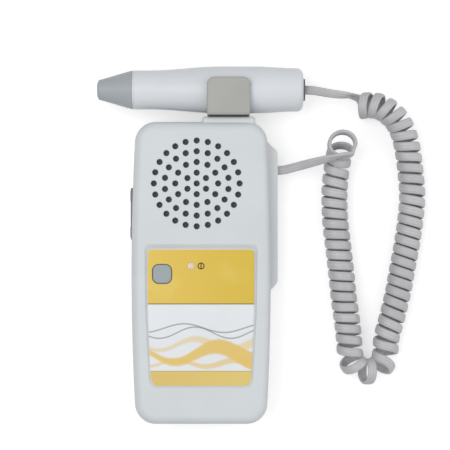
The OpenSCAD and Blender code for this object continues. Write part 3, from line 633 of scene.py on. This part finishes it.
def label_recess():
    """Cutter of the keypad's recess: its sides slope, most of all at the top."""
    recess = bmesh.new()
    label_outline(recess, RECESS_GAP, 2.2)
    for vert in raise_face(recess, 2.2):
        vert.co.x *= 1.07
        vert.co.y += 3.0 if vert.co.y > -6 else -1.0 * (vert.co.y < 3 - LABEL_H)
    on_recess(recess)
    return recess


rocker_low, rocker_high = box_mm("volume_rocker")


def front_openings():
    """Cutter of the button's, the lamp's and the rocker's openings."""
    tools = bmesh.new()
    opening = BUTTON_W + 2 * BUTTON_GAP
    slab(tools, opening, opening, BODY_T - 5, BODY_T + 1, BUTTON_CORNER + 0.35, BUTTON_AT)
    lathe(tools, [(0, -5), (LAMP_R, -5), (LAMP_R, 1), (0, 1)], steps=32, at=(*LAMP_AT, BODY_T))
    middle = (rocker_low + rocker_high) / 2
    slab(tools, 12, rocker_high.y - rocker_low.y + 0.9, rocker_low.z - 0.3, rocker_high.z + 0.3, 0.5,
         (rocker_low.x + 2, middle.y), segments=3)
    return tools


def front_cover():
    shell = cover_block(0, SPLIT_Z + SHADOW_GAP, BODY_T, EDGE_R)
    lip = cover_block(SHADOW_GAP, SPLIT_Z, SPLIT_Z + 2, 0)
    shell = cut(shell, lip, "UNION")
    shell = cut(shell, cover_block(WALL, SPLIT_Z - 1, BODY_T - WALL, EDGE_R - WALL))
    for cutter in (label_recess(), grille_pins(), front_openings()):
        shell = cut(shell, cutter)
    return finish_piece(shell, "front_cover_moulding", shell_white, "body", ("front_cover",))


front_piece = front_cover()
print("front cover:", len(front_piece.data.polygons), "faces")

# %% [markdown]
# The rear cover is the same block turned over. Its side pod starts as a plate beside the body, gets its corners
# and both rims rounded, and is joined to the wall by a union, so that the crease between them is real.

# %% Rear cover
DOOR_HALF = 13.75
DOOR_TOP = box_mm("battery_door")[1].y + 0.3
POD_TOP_Y = 61.6
POD_LOW_Y = -9
POD_Z = 2.1
# the pod's outline from its top end to its low end, inwards from its side and down or up from its ends
POD_SHOULDER = ((6, 0), (4.6, 0.4), (3.2, 2.2), (1, 3.8), (0, 5.6))
POD_SLOPE = ((0, 4.4), (2.9, 1), (4.9, 0), (6, 0))
SCREWS = [(x * 22.4, y * 61) for x in (-1, 1) for y in (-1, 1)]
WELL_R = 2.3
SLOT_Y = 47.9


def turned_over(block):
    """Mirrors a block in the plane of the covers' joint."""
    bmesh.ops.scale(block, vec=(1, 1, -1), verts=block.verts)
    bmesh.ops.translate(block, vec=(0, 0, 2 * SPLIT_Z), verts=block.verts)
    bmesh.ops.recalc_face_normals(block, faces=block.faces)
    return block


def side_pod():
    """Bulge along the right side: shouldered at its top end, sloped at its low end."""
    pod = bmesh.new()
    outline = [(POD_X - inwards, POD_TOP_Y - down) for inwards, down in POD_SHOULDER]
    outline += [(POD_X - inwards, POD_LOW_Y + up) for inwards, up in POD_SLOPE]
    pod.faces.new([pod.verts.new((x, y, POD_Z)) for x, y in outline])
    pod.verts.ensure_lookup_table()
    round_off(pod, pod.verts[1:8], 0.7, 4)
    raise_face(pod, SPLIT_Z - 0.1 - POD_Z)
    bmesh.ops.recalc_face_normals(pod, faces=pod.faces)
    for wanted, offset in ((1, 0.8), (-1, 2.0)):
        rim = [e for e in pod.edges if len(e.link_faces) == 2
               and any(f.normal.z * wanted > 0.9 for f in e.link_faces)
               and any(f.normal.x > 0.2 for f in e.link_faces)]
        round_off(pod, rim, offset, 5, "EDGES", clamp=True)
    bmesh.ops.remove_doubles(pod, verts=pod.verts, dist=0.001)
    return pod


def rear_cuts():
    """Cutter of the door's channel, the screw wells and the slot that the lead goes through."""
    tools = bmesh.new()
    past_end = HALF_L + 2
    slab(tools, 2 * DOOR_HALF, DOOR_TOP + past_end, -1, WALL, 0.4, (0, (DOOR_TOP - past_end) / 2), segments=2)
    for x, y in SCREWS:
        well = [(0, -1), (WELL_R + 0.25, -1), (WELL_R, 0.25), (WELL_R, WALL), (0, WALL)]
        lathe(tools, well, steps=32, at=(x, y, 0))
    slab(tools, 8, 4.8, 6.35, 8.85, 0.4, (POD_X, SLOT_Y), segments=3)
    return tools


def rear_cover():
    shell = turned_over(cover_block(0, SPLIT_Z + SHADOW_GAP, 2 * SPLIT_Z, EDGE_R))
    shell = cut(shell, side_pod(), "UNION")
    lip = cover_block(SHADOW_GAP, SPLIT_Z - 2, SPLIT_Z, 0)
    shell = cut(shell, lip, "UNION")
    shell = cut(shell, turned_over(cover_block(WALL, SPLIT_Z - 1, 2 * SPLIT_Z - WALL, EDGE_R - WALL)))
    shell = cut(shell, rear_cuts())
    return finish_piece(shell, "rear_cover_moulding", rear_white_painted_light, "body", ("rear_cover",))


rear_piece = rear_cover()
print("rear cover:", len(rear_piece.data.polygons), "faces")

# %% [markdown]
# The power button is a soft square cap with a slightly dished top, and a flange below that holds it in. The
# rocker is a thin rubber bar with a raised pad at each end, one for louder and one for softer.


# %% Power button
def power_button():
    cap = bmesh.new()
    low, top = (corner.z for corner in box_mm("power_button"))
    slab(cap, BUTTON_W, BUTTON_W, low, top, BUTTON_CORNER, BUTTON_AT, segments=8, edge=0.6, edge_segments=5)
    crown = max(cap.faces, key=lambda f: f.calc_center_median().z)
    for inset, sink in ((0.4, 0.0), (0.6, 0.06), (0.6, 0.05)):
        bmesh.ops.inset_region(cap, faces=[crown], thickness=inset, use_even_offset=True)
        bmesh.ops.translate(cap, vec=(0, 0, -sink), verts=crown.verts[:])
    slab(cap, BUTTON_W + 2, BUTTON_W + 2, low, low + 0.6, BUTTON_CORNER, BUTTON_AT, segments=6)
    return finish_piece(cap, "power_button_cap", button_grey, "button", ("power_button",))


power_button()


# %% Volume rocker
def volume_rocker():
    bar = bmesh.new()
    low, high = rocker_low, rocker_high
    middle = (low + high) / 2
    length, height = high.y - low.y, high.z - low.z
    slab(bar, height, length, 0, 3.6, 0.8, (0, 0), segments=5, edge=0.35, edge_segments=3)
    for end in (-1, 1):
        slab(bar, height - 1.6, 5, 3.3, 3.8, 0.9, (0, end * (length / 2 - 3.6)), segments=4,
             edge=0.2, edge_segments=3)
    lift = Matrix.Translation((low.x + 3.8, middle.y, middle.z)) @ Matrix.Rotation(-math.pi / 2, 4, "Y")
    bmesh.ops.transform(bar, matrix=lift, verts=bar.verts)
    return finish_piece(bar, "volume_rocker_bar", rocker_grey, "rocker", ("volume_rocker",))


volume_rocker()

# %% [markdown]
# The clip is a moulded U that grips the barrel between two fingers. Seen from above it is a plate with round
# corners, so its plan is drawn once and pushed through, and the barrel's channel is cut across it. A dark strip
# of painted shade fills the gap between it and the bracket, whose foot reaches down over the body's rounded
# edge.

# %% Clip and bracket
clip_low, clip_high = box_mm("probe_clip")
bracket_low, bracket_high = box_mm("clip_bracket")
probe_low, probe_high = box_mm("probe_shell")
AXIS_Y = (probe_low.y + probe_high.y) / 2
AXIS_Z = (probe_low.z + probe_high.z) / 2
CRADLE_R = (probe_high.z - probe_low.z) / 2 + 0.4
CLIP_MIDDLE = (clip_low.x + clip_high.x) / 2
CLIP_W = clip_high.x - clip_low.x
FINGER_TIP_R = 3.4
FINGER_TRIM = 0.95
FOOT_Y = clip_high.y - 18.5
TIP_Y = clip_high.y - FINGER_TRIM
BRACKET_FOOT = 1.5
BRACKET_MIDDLE = (bracket_low + bracket_high) / 2


def clip_body():
    """Clip from its own outline, drawn in the plan view, with the channel cut through it."""
    part = bmesh.new()
    plan = [(-CLIP_W / 2, FOOT_Y), (CLIP_W / 2, FOOT_Y), (CLIP_W / 2, TIP_Y), (-CLIP_W / 2, TIP_Y)]
    part.faces.new([part.verts.new((CLIP_MIDDLE + x, y, clip_low.z)) for x, y in plan])
    part.verts.ensure_lookup_table()
    round_off(part, part.verts[2:4], FINGER_TIP_R, 12)
    feet = [v for v in part.verts if v.co.y < FOOT_Y + 0.01]
    round_off(part, feet, 0.9, 3)
    raise_face(part, clip_high.z - clip_low.z)
    bmesh.ops.recalc_face_normals(part, faces=part.faces)
    rim = [e for e in part.edges if any(abs(f.normal.z) > 0.9 for f in e.link_faces)]
    round_off(part, rim, 0.95, 6, "EDGES")
    channel = bmesh.new()
    barrel = [(0, -20), (CRADLE_R, -20), (CRADLE_R, 20), (0, 20)]
    lathe(channel, barrel, axis="X", at=(CLIP_MIDDLE, AXIS_Y, AXIS_Z))
    slot = bmesh.new()
    slab(slot, 40, 20, AXIS_Z - CRADLE_R, AXIS_Z + CRADLE_R, 0.1, (CLIP_MIDDLE, AXIS_Y + 10), segments=1)
    return cut(cut(part, channel), slot)


def clip_gap_shade():
    """Dark strip put in the gap between clip and bracket as painted shade; it also hides the screws in it."""
    strip = bmesh.new()
    gap = FOOT_Y - bracket_high.y
    slab(strip, CLIP_W - 1.2, gap + 0.1, bracket_low.z + 0.3, bracket_high.z + 0.1, 0.1,
         (CLIP_MIDDLE, (FOOT_Y + bracket_high.y) / 2), segments=1)
    return strip


def clip_bracket():
    """Bracket block on the body's top, with soft edges, and its tongue through the wall."""
    part = bmesh.new()
    low_y = HALF_L - BRACKET_FOOT
    size = bracket_high - bracket_low
    slab(part, size.x, size.z, 0, bracket_high.y - low_y, 2, (0, 0), segments=6, edge=1.9, edge_segments=7)
    place = Matrix.Translation((BRACKET_MIDDLE.x, low_y, BRACKET_MIDDLE.z))
    bmesh.ops.transform(part, matrix=place @ Matrix.Rotation(-math.pi / 2, 4, "X"), verts=part.verts)
    tongue = bmesh.new()
    slab(tongue, 14, 4.4, AXIS_Z - 3, AXIS_Z + 3, 0.3, (BRACKET_MIDDLE.x, HALF_L - 1.9), segments=1)
    return cut(part, tongue, "UNION")


finish_piece(clip_body(), "probe_clip_cradle", clip_grey, "body", ("probe_clip",))
finish_piece(clip_gap_shade(), "clip_gap_shade", gap_shade_black, "body", ())
finish_piece(clip_bracket(), "clip_bracket_block", bracket_white, "body", ("clip_bracket",))
print("clip done")

# %% [markdown]
# The probe is a turned shape: its shell swells from the seam to the middle and draws in a little towards the
# cord. Spinning a drawn profile round the probe's axis gives the same surface as the turned mould cavity.

# %% Probe
SEAM_X = probe_low.x
END_X = probe_high.x
PLATE_X = END_X + 0.9
SEAM_R = 9.1
TIP_BACK_X = -32
TIP_R = 4.7
LENS_SEAT_R = 3.9
TIP_STEPS = 24
SPIGOT_R = 6.6
SOCKET_R = 7.4
SHELL_STEP = 2.4
PLATE_BEVEL = 0.4
LEAD_HOLE_R = 3.0


def ease(x, start, end):
    """Smooth step from 0 at start to 1 at end."""
    t = max(0.0, min(1.0, (x - start) / (end - start)))
    return t * t * (3 - 2 * t)


def shell_r(s):
    """Radius of the probe's shell at a distance from its seam end."""
    return SEAM_R + 1.85 * ease(s, 8, 40) - 0.8 * ease(s, 57.2, 75.2)


def rounded_end(radius, at, round_r, side, steps=8):
    """Points of a quarter circle that closes a turned profile towards its axis."""
    points = []
    for i in range(steps + 1):
        turn = math.pi / 2 * i / steps
        points.append((radius - round_r * (1 - math.cos(turn)), at - side * round_r * (1 - math.sin(turn))))
    return points


def probe_shell():
    part = bmesh.new()
    length = END_X - SEAM_X
    profile = [(SOCKET_R, SEAM_X), (SEAM_R - 0.3, SEAM_X), (SEAM_R, SEAM_X + 0.3)]
    profile += [(shell_r(s), SEAM_X + s) for s in (x * SHELL_STEP for x in range(1, 32)) if s < length - 3.2]
    profile += rounded_end(shell_r(length), END_X, 3, 1)
    profile += [(3.2, END_X), (3.2, END_X - 1.8), (7.2, END_X - 1.8), (SOCKET_R, SEAM_X)]
    lathe(part, profile, steps=128, axis="X", at=(0, AXIS_Y, AXIS_Z))
    return finish_piece(part, "probe_barrel", probe_white, "probe", ("probe_shell",))


def probe_tip():
    part = bmesh.new()
    front, back = box_mm("probe_tip")[0].x, TIP_BACK_X
    profile = [(LENS_SEAT_R, front + 3), (LENS_SEAT_R, front + 0.3), (LENS_SEAT_R + 0.25, front)]
    profile += list(reversed(rounded_end(TIP_R, front, 0.5, -1, 5)))
    for i in range(1, TIP_STEPS + 1):
        along = i / TIP_STEPS
        swell = 0.93 * along + 0.07 * ease(along, 0, 1)
        profile.append((TIP_R + (SEAM_R - TIP_R) * swell, front + 0.5 + (back - front - 0.8) * along))
    profile += [(SEAM_R - 0.3, back), (SPIGOT_R, back), (SPIGOT_R, back - 2), (LENS_SEAT_R, front + 5),
                (LENS_SEAT_R, front + 3)]
    lathe(part, profile, steps=112, axis="X", at=(0, AXIS_Y, AXIS_Z))
    return finish_piece(part, "probe_tip_cone", tip_grey, "probe", ("probe_tip",))


def end_plate():
    part = bmesh.new()
    low, high = box_mm("probe_end_plate")
    radius = (high.z - low.z) / 2
    profile = [(0, low.x), (radius, low.x), (radius, high.x - PLATE_BEVEL), (radius - 0.12, high.x - 0.12),
               (radius - PLATE_BEVEL, high.x), (LEAD_HOLE_R + 0.4, high.x), (LEAD_HOLE_R, high.x - 0.35),
               (0, high.x - 0.35)]
    lathe(part, profile, steps=72, axis="X", at=(0, AXIS_Y, AXIS_Z))
    return finish_piece(part, "probe_end_disc", plate_dark, "probe", ("probe_end_plate",))


probe_shell()
probe_tip()
end_plate()
print("probe turned about y", AXIS_Y, "z", AXIS_Z)

# %% [markdown]
# The label is a die-cut sheet with a window for the button and one for the lamp. Its on/off sign is printed on
# the real one. Here it is a ring and a bar a few hundredths of a millimetre proud, which keeps its edge crisp.
# The lamp sits under a frosted cap.

# %% Label, on/off sign and lamp
SIGN_AT = (0.0, 3.3)
SIGN_R = 1.62
SIGN_LINE = 0.52
LABEL_T = 0.42
LABEL_CORNER = 1.7
SIGN_T = 0.06
CAP_R = 1.6


def label_z(y):
    """Height of the label's face at a distance along the body."""
    return BODY_T - RECESS_DEEP + (LABEL_TOP - y) * math.tan(TILT) + LABEL_T


def label_sheet():
    sheet = bmesh.new()
    label_outline(sheet, 0, LABEL_CORNER)
    raise_face(sheet, 0.4)
    on_recess(sheet, 0.02)
    holes = bmesh.new()
    opening = BUTTON_W + 0.7
    slab(holes, opening, opening, BODY_T - 3, BODY_T + 1, BUTTON_CORNER + 0.35, BUTTON_AT)
    lathe(holes, [(0, -3), (LAMP_R, -3), (LAMP_R, 1), (0, 1)], steps=40, at=(*LAMP_AT, BODY_T))
    sheet = cut(sheet, holes)
    return finish_piece(sheet, "label_sheet", label_print, "body", ("label_panel",))


def on_off_sign():
    part = bmesh.new()
    inner = SIGN_R - SIGN_LINE
    lathe(part, [(inner, 0), (SIGN_R, 0), (SIGN_R, SIGN_T), (inner, SIGN_T), (inner, 0)], steps=64)
    slab(part, SIGN_LINE, 2 * SIGN_R - SIGN_LINE, 0, 0.05, 0.04, segments=2)
    place = Matrix.Translation((*SIGN_AT, label_z(SIGN_AT[1]) - 0.02)) @ Matrix.Rotation(-TILT, 4, "X")
    bmesh.ops.transform(part, matrix=place, verts=part.verts)
    return finish_piece(part, "on_off_sign", sign_brown, "body", ())


def lamp_lens():
    """Frosted cap over the lamp, with a low dome that stands a hair above the label."""
    part = bmesh.new()
    face = label_z(LAMP_AT[1])
    stem, flange = CAP_R - 0.1, face - 0.9
    profile = [(0, face - 5.5), (stem, face - 5.5), (stem, flange), (CAP_R, flange), (CAP_R, face - 0.02)]
    profile += [(1.5, face + 0.08), (1.2, face + 0.14), (0.6, face + 0.17), (0, face + 0.18)]
    lathe(part, profile, steps=40, at=(*LAMP_AT, 0))
    return finish_piece(part, "lamp_lens", lamp_pink, "body", ("indicator_led",))


label_sheet()
on_off_sign()
lamp_lens()

# %% [markdown]
# The curly lead is a flat jacket about 4 mm wide, wound on a mandrel and heat set. It is one continuous band:
# out of the probe, behind the first curl, round every curl with its flat face outwards, through a raised open
# curl at the end, and into the pod. The first curls stand a little off the table, as the probe holds them up.

# %% Curly lead: its route
LEAD_W = 4.2
LEAD_T = 1.9
COIL_R = 5.35
LAST_CURL_R = 6.0
COIL_TURNS = 49
COIL_Z = 6.4
CLOSE = 4.85
BEND_R = 8.3
BEND_AT = (78.5, -38.7)
FACETS = 8
FIRST_RING = 1
COIL_RINGS = FACETS * COIL_TURNS + 4
LEAD_Y = 85.4
SPLINE_STEPS = 10
# x, y, lift of the coil's axis over its usual height, and millimetres from one curl to the next
DOWN = [(73.9, 78.1, 0, 4.5), (78.2, 78.7, 1.4, 4.6), (83, 78.3, 2.3, 4.8), (87.6, 76, 2.4, 5),
        (91.7, 72.2, 1.8, 5.2), (94.7, 67.3, 1.1, 5.3), (96.6, 61.6, 0.5, 5.3), (97.8, 55.4, 0.1, 5.2),
        (98.9, 46, 0, 5.1), (99.6, 36, 0, 5), (98.9, 26, 0, CLOSE), (97.2, 14, 0, CLOSE),
        (95, 2, 0, CLOSE), (92.8, -10, 0, CLOSE), (89.9, -22, 0, 5.1), (87.5, -31, 0, 5.2)]
UP = [(69.6, -31, 0, 5.2), (68.6, -22, 0, 5.1), (67.2, -12, 0, CLOSE), (66, 0, 0, CLOSE),
      (64.6, 12, 0, CLOSE), (63.2, 24, 0, CLOSE), (62.8, 36, 0, CLOSE), (63.2, 43, 0, 5.2),
      (63.9, 49, 0.4, 6), (64.7, 54.5, 2.6, 6.6), (65.5, 58.6, 6.4, 7), (66.1, 60.8, 11.2, 6.4)]


def bend_point(degrees):
    """A point of the bottom bend, where the curls stand further apart."""
    turn = math.radians(degrees)
    return (BEND_AT[0] + BEND_R * math.cos(turn), BEND_AT[1] + BEND_R * math.sin(turn), 0,
            6.8 if degrees % 180 == 0 else 8.2)


def spline(points, steps):
    """Catmull-Rom curve through points that hold any number of values."""
    points = [Vector(p) for p in points]
    line = []
    for i in range(len(points) - 1):
        a, b, c = points[max(i - 1, 0)], points[i], points[i + 1]
        d = points[min(i + 2, len(points) - 1)]
        for j in range(steps):
            t = j / steps
            line.append(0.5 * (2 * b + (c - a) * t + (2 * a - 5 * b + 4 * c - d) * t * t
                               + (3 * b - a - 3 * c + d) * t ** 3))
    return line + [points[-1]]


def ahead_at(values, i):
    """Direction of a line of points at one of them."""
    return (values[min(i + 1, len(values) - 1)] - values[max(i - 1, 0)]).normalized()


bend = [bend_point(degrees) for degrees in range(0, -181, -30)]
axis = spline([(x, y, COIL_Z + lift, pitch) for x, y, lift, pitch in DOWN + bend + UP], SPLINE_STEPS)
centres = [Vector(p[:3]) for p in axis]
headings = [ahead_at(centres, i) for i in range(len(axis))]
turns = [0.0]
for i in range(len(axis) - 1):
    turns.append(turns[-1] + (centres[i + 1] - centres[i]).length / ((axis[i][3] + axis[i + 1][3]) / 2))
sides = [Vector((0, 0, 1)).cross(headings[0]).normalized()]
for heading in headings[1:]:
    sides.append((sides[-1] - sides[-1].dot(heading) * heading).normalized())
print(f"axis of the curls: {sum((b - a).length for a, b in zip(centres, centres[1:])):.0f} mm, "
      f"{COIL_RINGS / FACETS:.1f} curls where the spacing asks for {turns[-1]:.1f}")

# %% [markdown]
# A station of the lead is a centre, the direction of its width and the direction of its thickness. Round the
# curls the thickness points away from the coil's axis, so the band shows its flat face, as on the real lead.

# %% Curly lead: stations
FINE = 3
SUB_FACETS = FACETS * FINE
TWIST_AT = 0.3
TWIST_RUN = 0.5


def mix_at(values, f):
    """Value at a fraction of a list's places."""
    i = min(int(f), len(values) - 2)
    return values[i].lerp(values[i + 1], f - i)


def on_circle(centre, heading, side, degrees, radius=COIL_R):
    """A point on the curl's circle and the direction out of it."""
    turn = math.radians(degrees)
    out = (math.cos(turn) * side + math.sin(turn) * heading.cross(side)).normalized()
    return centre + radius * out, out


def axis_place(ring):
    """Where a ring lies on the axis, as a fraction of its points."""
    wanted = ring / COIL_RINGS * turns[-1]
    i = max(j for j, turn in enumerate(turns[:-1]) if turn <= wanted + 1e-9)
    return i + (wanted - turns[i]) / (turns[i + 1] - turns[i])


curls = []
for k in range(FIRST_RING * FINE, COIL_RINGS * FINE + 1):
    place = axis_place(k / FINE)
    loose = ease(k / FINE, COIL_RINGS - 10, COIL_RINGS - 2)
    heading, side = (mix_at(values, place).normalized() for values in (headings, sides))
    curls.append(on_circle(mix_at(centres, place), heading, side, -360 * k / SUB_FACETS,
                           COIL_R + loose * (LAST_CURL_R - COIL_R)))
leave = (curls[-1][0] - curls[-2][0]).normalized()
leave = (leave - 0.35 * curls[-1][1]).normalized()
curls += [(curls[-1][0] + share * LEAD_W * leave, curls[-1][1]) for share in (0.25, 0.5, 0.75, 1)]


def stations_along(line):
    """Stations whose thickness points along each given outward direction."""
    made = []
    places = [centre for centre, outward in line]
    for i, (centre, outward) in enumerate(line):
        ahead = ahead_at(places, i)
        thickness = (outward - outward.dot(ahead) * ahead).normalized()
        made.append((centre, ahead.cross(thickness), thickness))
    return made


def stations_between(route, ends, widths):
    """Stations of a free stretch with given end headings, whose width turns through three directions."""
    line = spline(route, SPLINE_STEPS)
    count = len(line) - 1
    aheads = [ends[0]] + [ahead_at(line, i) for i in range(1, count)] + [ends[1]]
    start, middle, end = widths
    made = []
    for i, (centre, ahead) in enumerate(zip(line, aheads)):
        share = i / count
        if share < TWIST_AT:
            turned = start.lerp(middle, ease(share, 0, TWIST_AT))
        else:
            turned = middle.lerp(end, min(1, (share - TWIST_AT) / TWIST_RUN))
        width = (turned - turned.dot(ahead) * ahead).normalized()
        made.append((centre, width, width.cross(ahead)))
    return made


coil_part = stations_along(curls)
coil_start, coil_end = coil_part[0][0], coil_part[-1][0]
into_coil = (coil_part[1][0] - coil_start).normalized()
plug_low, plug_high = box_mm("lead_plug")
EXIT_Y, EXIT_Z = (plug_low.y + plug_high.y) / 2, (plug_low.z + plug_high.z) / 2
probe_route = [(PLATE_X - 0.3, LEAD_Y, AXIS_Z), (PLATE_X + 4, LEAD_Y - 0.2, AXIS_Z), (60.5, 84, AXIS_Z - 2),
               (67.5, 83.4, AXIS_Z - 5), coil_start - Vector((3.8, -1.2, -1.7)), coil_start]
probe_part = stations_between(probe_route, (Vector((1, 0, 0)), into_coil),
                              (Vector((0, 1, 0)), Vector((0, 1, 0.45)), coil_part[0][1]))
print("coil starts at", [round(v, 1) for v in coil_start], "heading", [round(v, 2) for v in into_coil])
print("coil ends at", [round(v, 1) for v in coil_end], "heading", [round(v, 2) for v in leave])
body_route = [coil_end, coil_end + 1.6 * leave, (66.6, 55, 21.4), (61.5, 53.8, 20.4), (53.5, 51.8, 16),
              (45, 49.7, 10.4), (38.8, EXIT_Y + 0.3, EXIT_Z + 0.2), (plug_high.x, EXIT_Y, EXIT_Z)]
body_part = stations_between(body_route, (leave, Vector((-1, 0, 0))),
                             (coil_part[-1][1], Vector((0, 0.2, 1)), Vector((0, 1, 0))))
least = min((a[0] - b[0]).length for i, a in enumerate(coil_part) for b in coil_part[i + 16:i + 34])
print(f"least distance between neighbouring curls {least:.2f} mm")
lead = probe_part[:-1] + coil_part + body_part[1:]
lead_length = sum((b[0] - a[0]).length for a, b in zip(lead, lead[1:]))
print(f"lead: {len(lead)} stations, {lead_length / 1000:.3f} m of cord")

# %% [markdown]
# The section is a flat bar whose faces bulge and whose edges are round, which gives each curl its soft
# scalloped edge. A ring of it stands at every station, and each ring is joined to the next.

# %% Curly lead: the band
SECTION_ANGLES = (8, 24, 42, 66, 114, 138, 156, 172)
FULLNESS = 0.8


def bar_point(degrees):
    """A point of the bar's outline: an ellipse drawn out towards its corners."""
    turn = math.radians(degrees)
    x, z = (math.copysign(abs(part) ** FULLNESS, part) for part in (math.cos(turn), math.sin(turn)))
    return x * LEAD_W / 2, z * LEAD_T / 2


SECTION = [bar_point(a) for a in SECTION_ANGLES + tuple(a + 180 for a in SECTION_ANGLES)]


def curly_lead():
    band = bmesh.new()
    along = band.verts.layers.float.new("across")
    rings = []
    for centre, width, thickness in lead:
        ring = []
        for x, z in SECTION:
            vert = band.verts.new(centre + x * width + z * thickness)
            vert[along] = x
            ring.append(vert)
        rings.append(ring)
    count = len(SECTION)
    for ring, following in zip(rings, rings[1:]):
        for j in range(count):
            band.faces.new((ring[j], ring[(j + 1) % count], following[(j + 1) % count], following[j]))
    band.faces.new(rings[0])
    band.faces.new(list(reversed(rings[-1])))
    bmesh.ops.recalc_face_normals(band, faces=band.faces)
    bmesh.ops.scale(band, vec=(MM, MM, MM), verts=band.verts)
    piece = smooth_object(band, "curly_lead", lead_grey)
    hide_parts("cord_probe_lead", "cord_coil", "cord_body_lead")
    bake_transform(piece)
    [tuple(station[0] * MM) for station in lead]
    return piece


curly_piece = curly_lead()
print("curly lead:", len(curly_piece.data.polygons), "faces")

# %% [markdown]
# The photograph has a plain white ground and soft light from the upper left. A world that is brightest overhead
# fills the shadows and leaves the sides darker, and two wide lamps model the rounded edges. The floor glows
# evenly where the camera sees it, so that it comes out white and still takes the object's shadow.

# %% Floor
SEEN_RAYS = ("Is Camera Ray", "Is Glossy Ray", "Is Transmission Ray")
FLOOR_GLOW = 0.5
FLOOR_HALF = 1.5
FLOOR_Z = -0.0005


def floor_paint():
    sheet = Sheet("floor_white")
    grain = sheet.noise(0.02, detail=2.0)
    sheet.set(Base_Color=sheet.mix(grain, rgb(212, 212, 213), rgb(216, 216, 216)), Roughness=0.75 + grain * 0.1)
    camera, glossy, clear = (sheet.node("ShaderNodeLightPath", output=name) for name in SEEN_RAYS)
    seen = camera.math("ADD", camera + glossy, clear, clamp=True)
    sheet.set(Emission_Color=sheet.mix(seen, (0, 0, 0, 1), (1, 1, 1, 1)))
    sheet.shader.inputs["Emission Strength"].default_value = FLOOR_GLOW
    return sheet.block


plane = bmesh.new()
bmesh.ops.create_grid(plane, x_segments=1, y_segments=1, size=FLOOR_HALF)
bmesh.ops.translate(plane, vec=(0, 0, FLOOR_Z), verts=plane.verts)
floor = smooth_object(plane, "floor", floor_paint())
print("floor laid")


# %% Light
OVERHEAD = 0.78
HORIZON = 0.07


def soft_lamp(name, place, width, watts):
    """A square area lamp at a place, turned towards the object."""
    data = bpy.data.lights.new(name, "AREA")
    data.size = width
    data.energy = watts
    lamp = add_object(name, data)
    lamp.location = place
    lamp.rotation_euler = (-Vector(place)).to_track_quat("-Z", "Y").to_euler()


def room_light():
    """World light: brightest overhead, weaker towards the horizon, and plain white where the camera sees it."""
    sheet = Sheet("soft_room", bpy.data.worlds, "Background")
    way = sheet.node("ShaderNodeTexCoord")
    height = sheet.node("ShaderNodeSeparateXYZ", {}, {0: way}, output=2)
    overhead = height.math("MAXIMUM", height, 0.0) * OVERHEAD + HORIZON
    camera, glossy, clear = (sheet.node("ShaderNodeLightPath", output=name) for name in SEEN_RAYS)
    seen = camera.math("MAXIMUM", camera, glossy.math("MAXIMUM", glossy, clear))
    sheet.set(Strength=seen.math("MAXIMUM", overhead, seen), Color=(1, 1, 1, 1))
    return sheet.block


soft_lamp("key_light", (-0.4, 0.1, 0.95), width=0.6, watts=3.4)
soft_lamp("fill_light", (0.8, 0.1, 0.5), width=0.8, watts=2.2)
bpy.context.scene.world = room_light()
print("lights set")
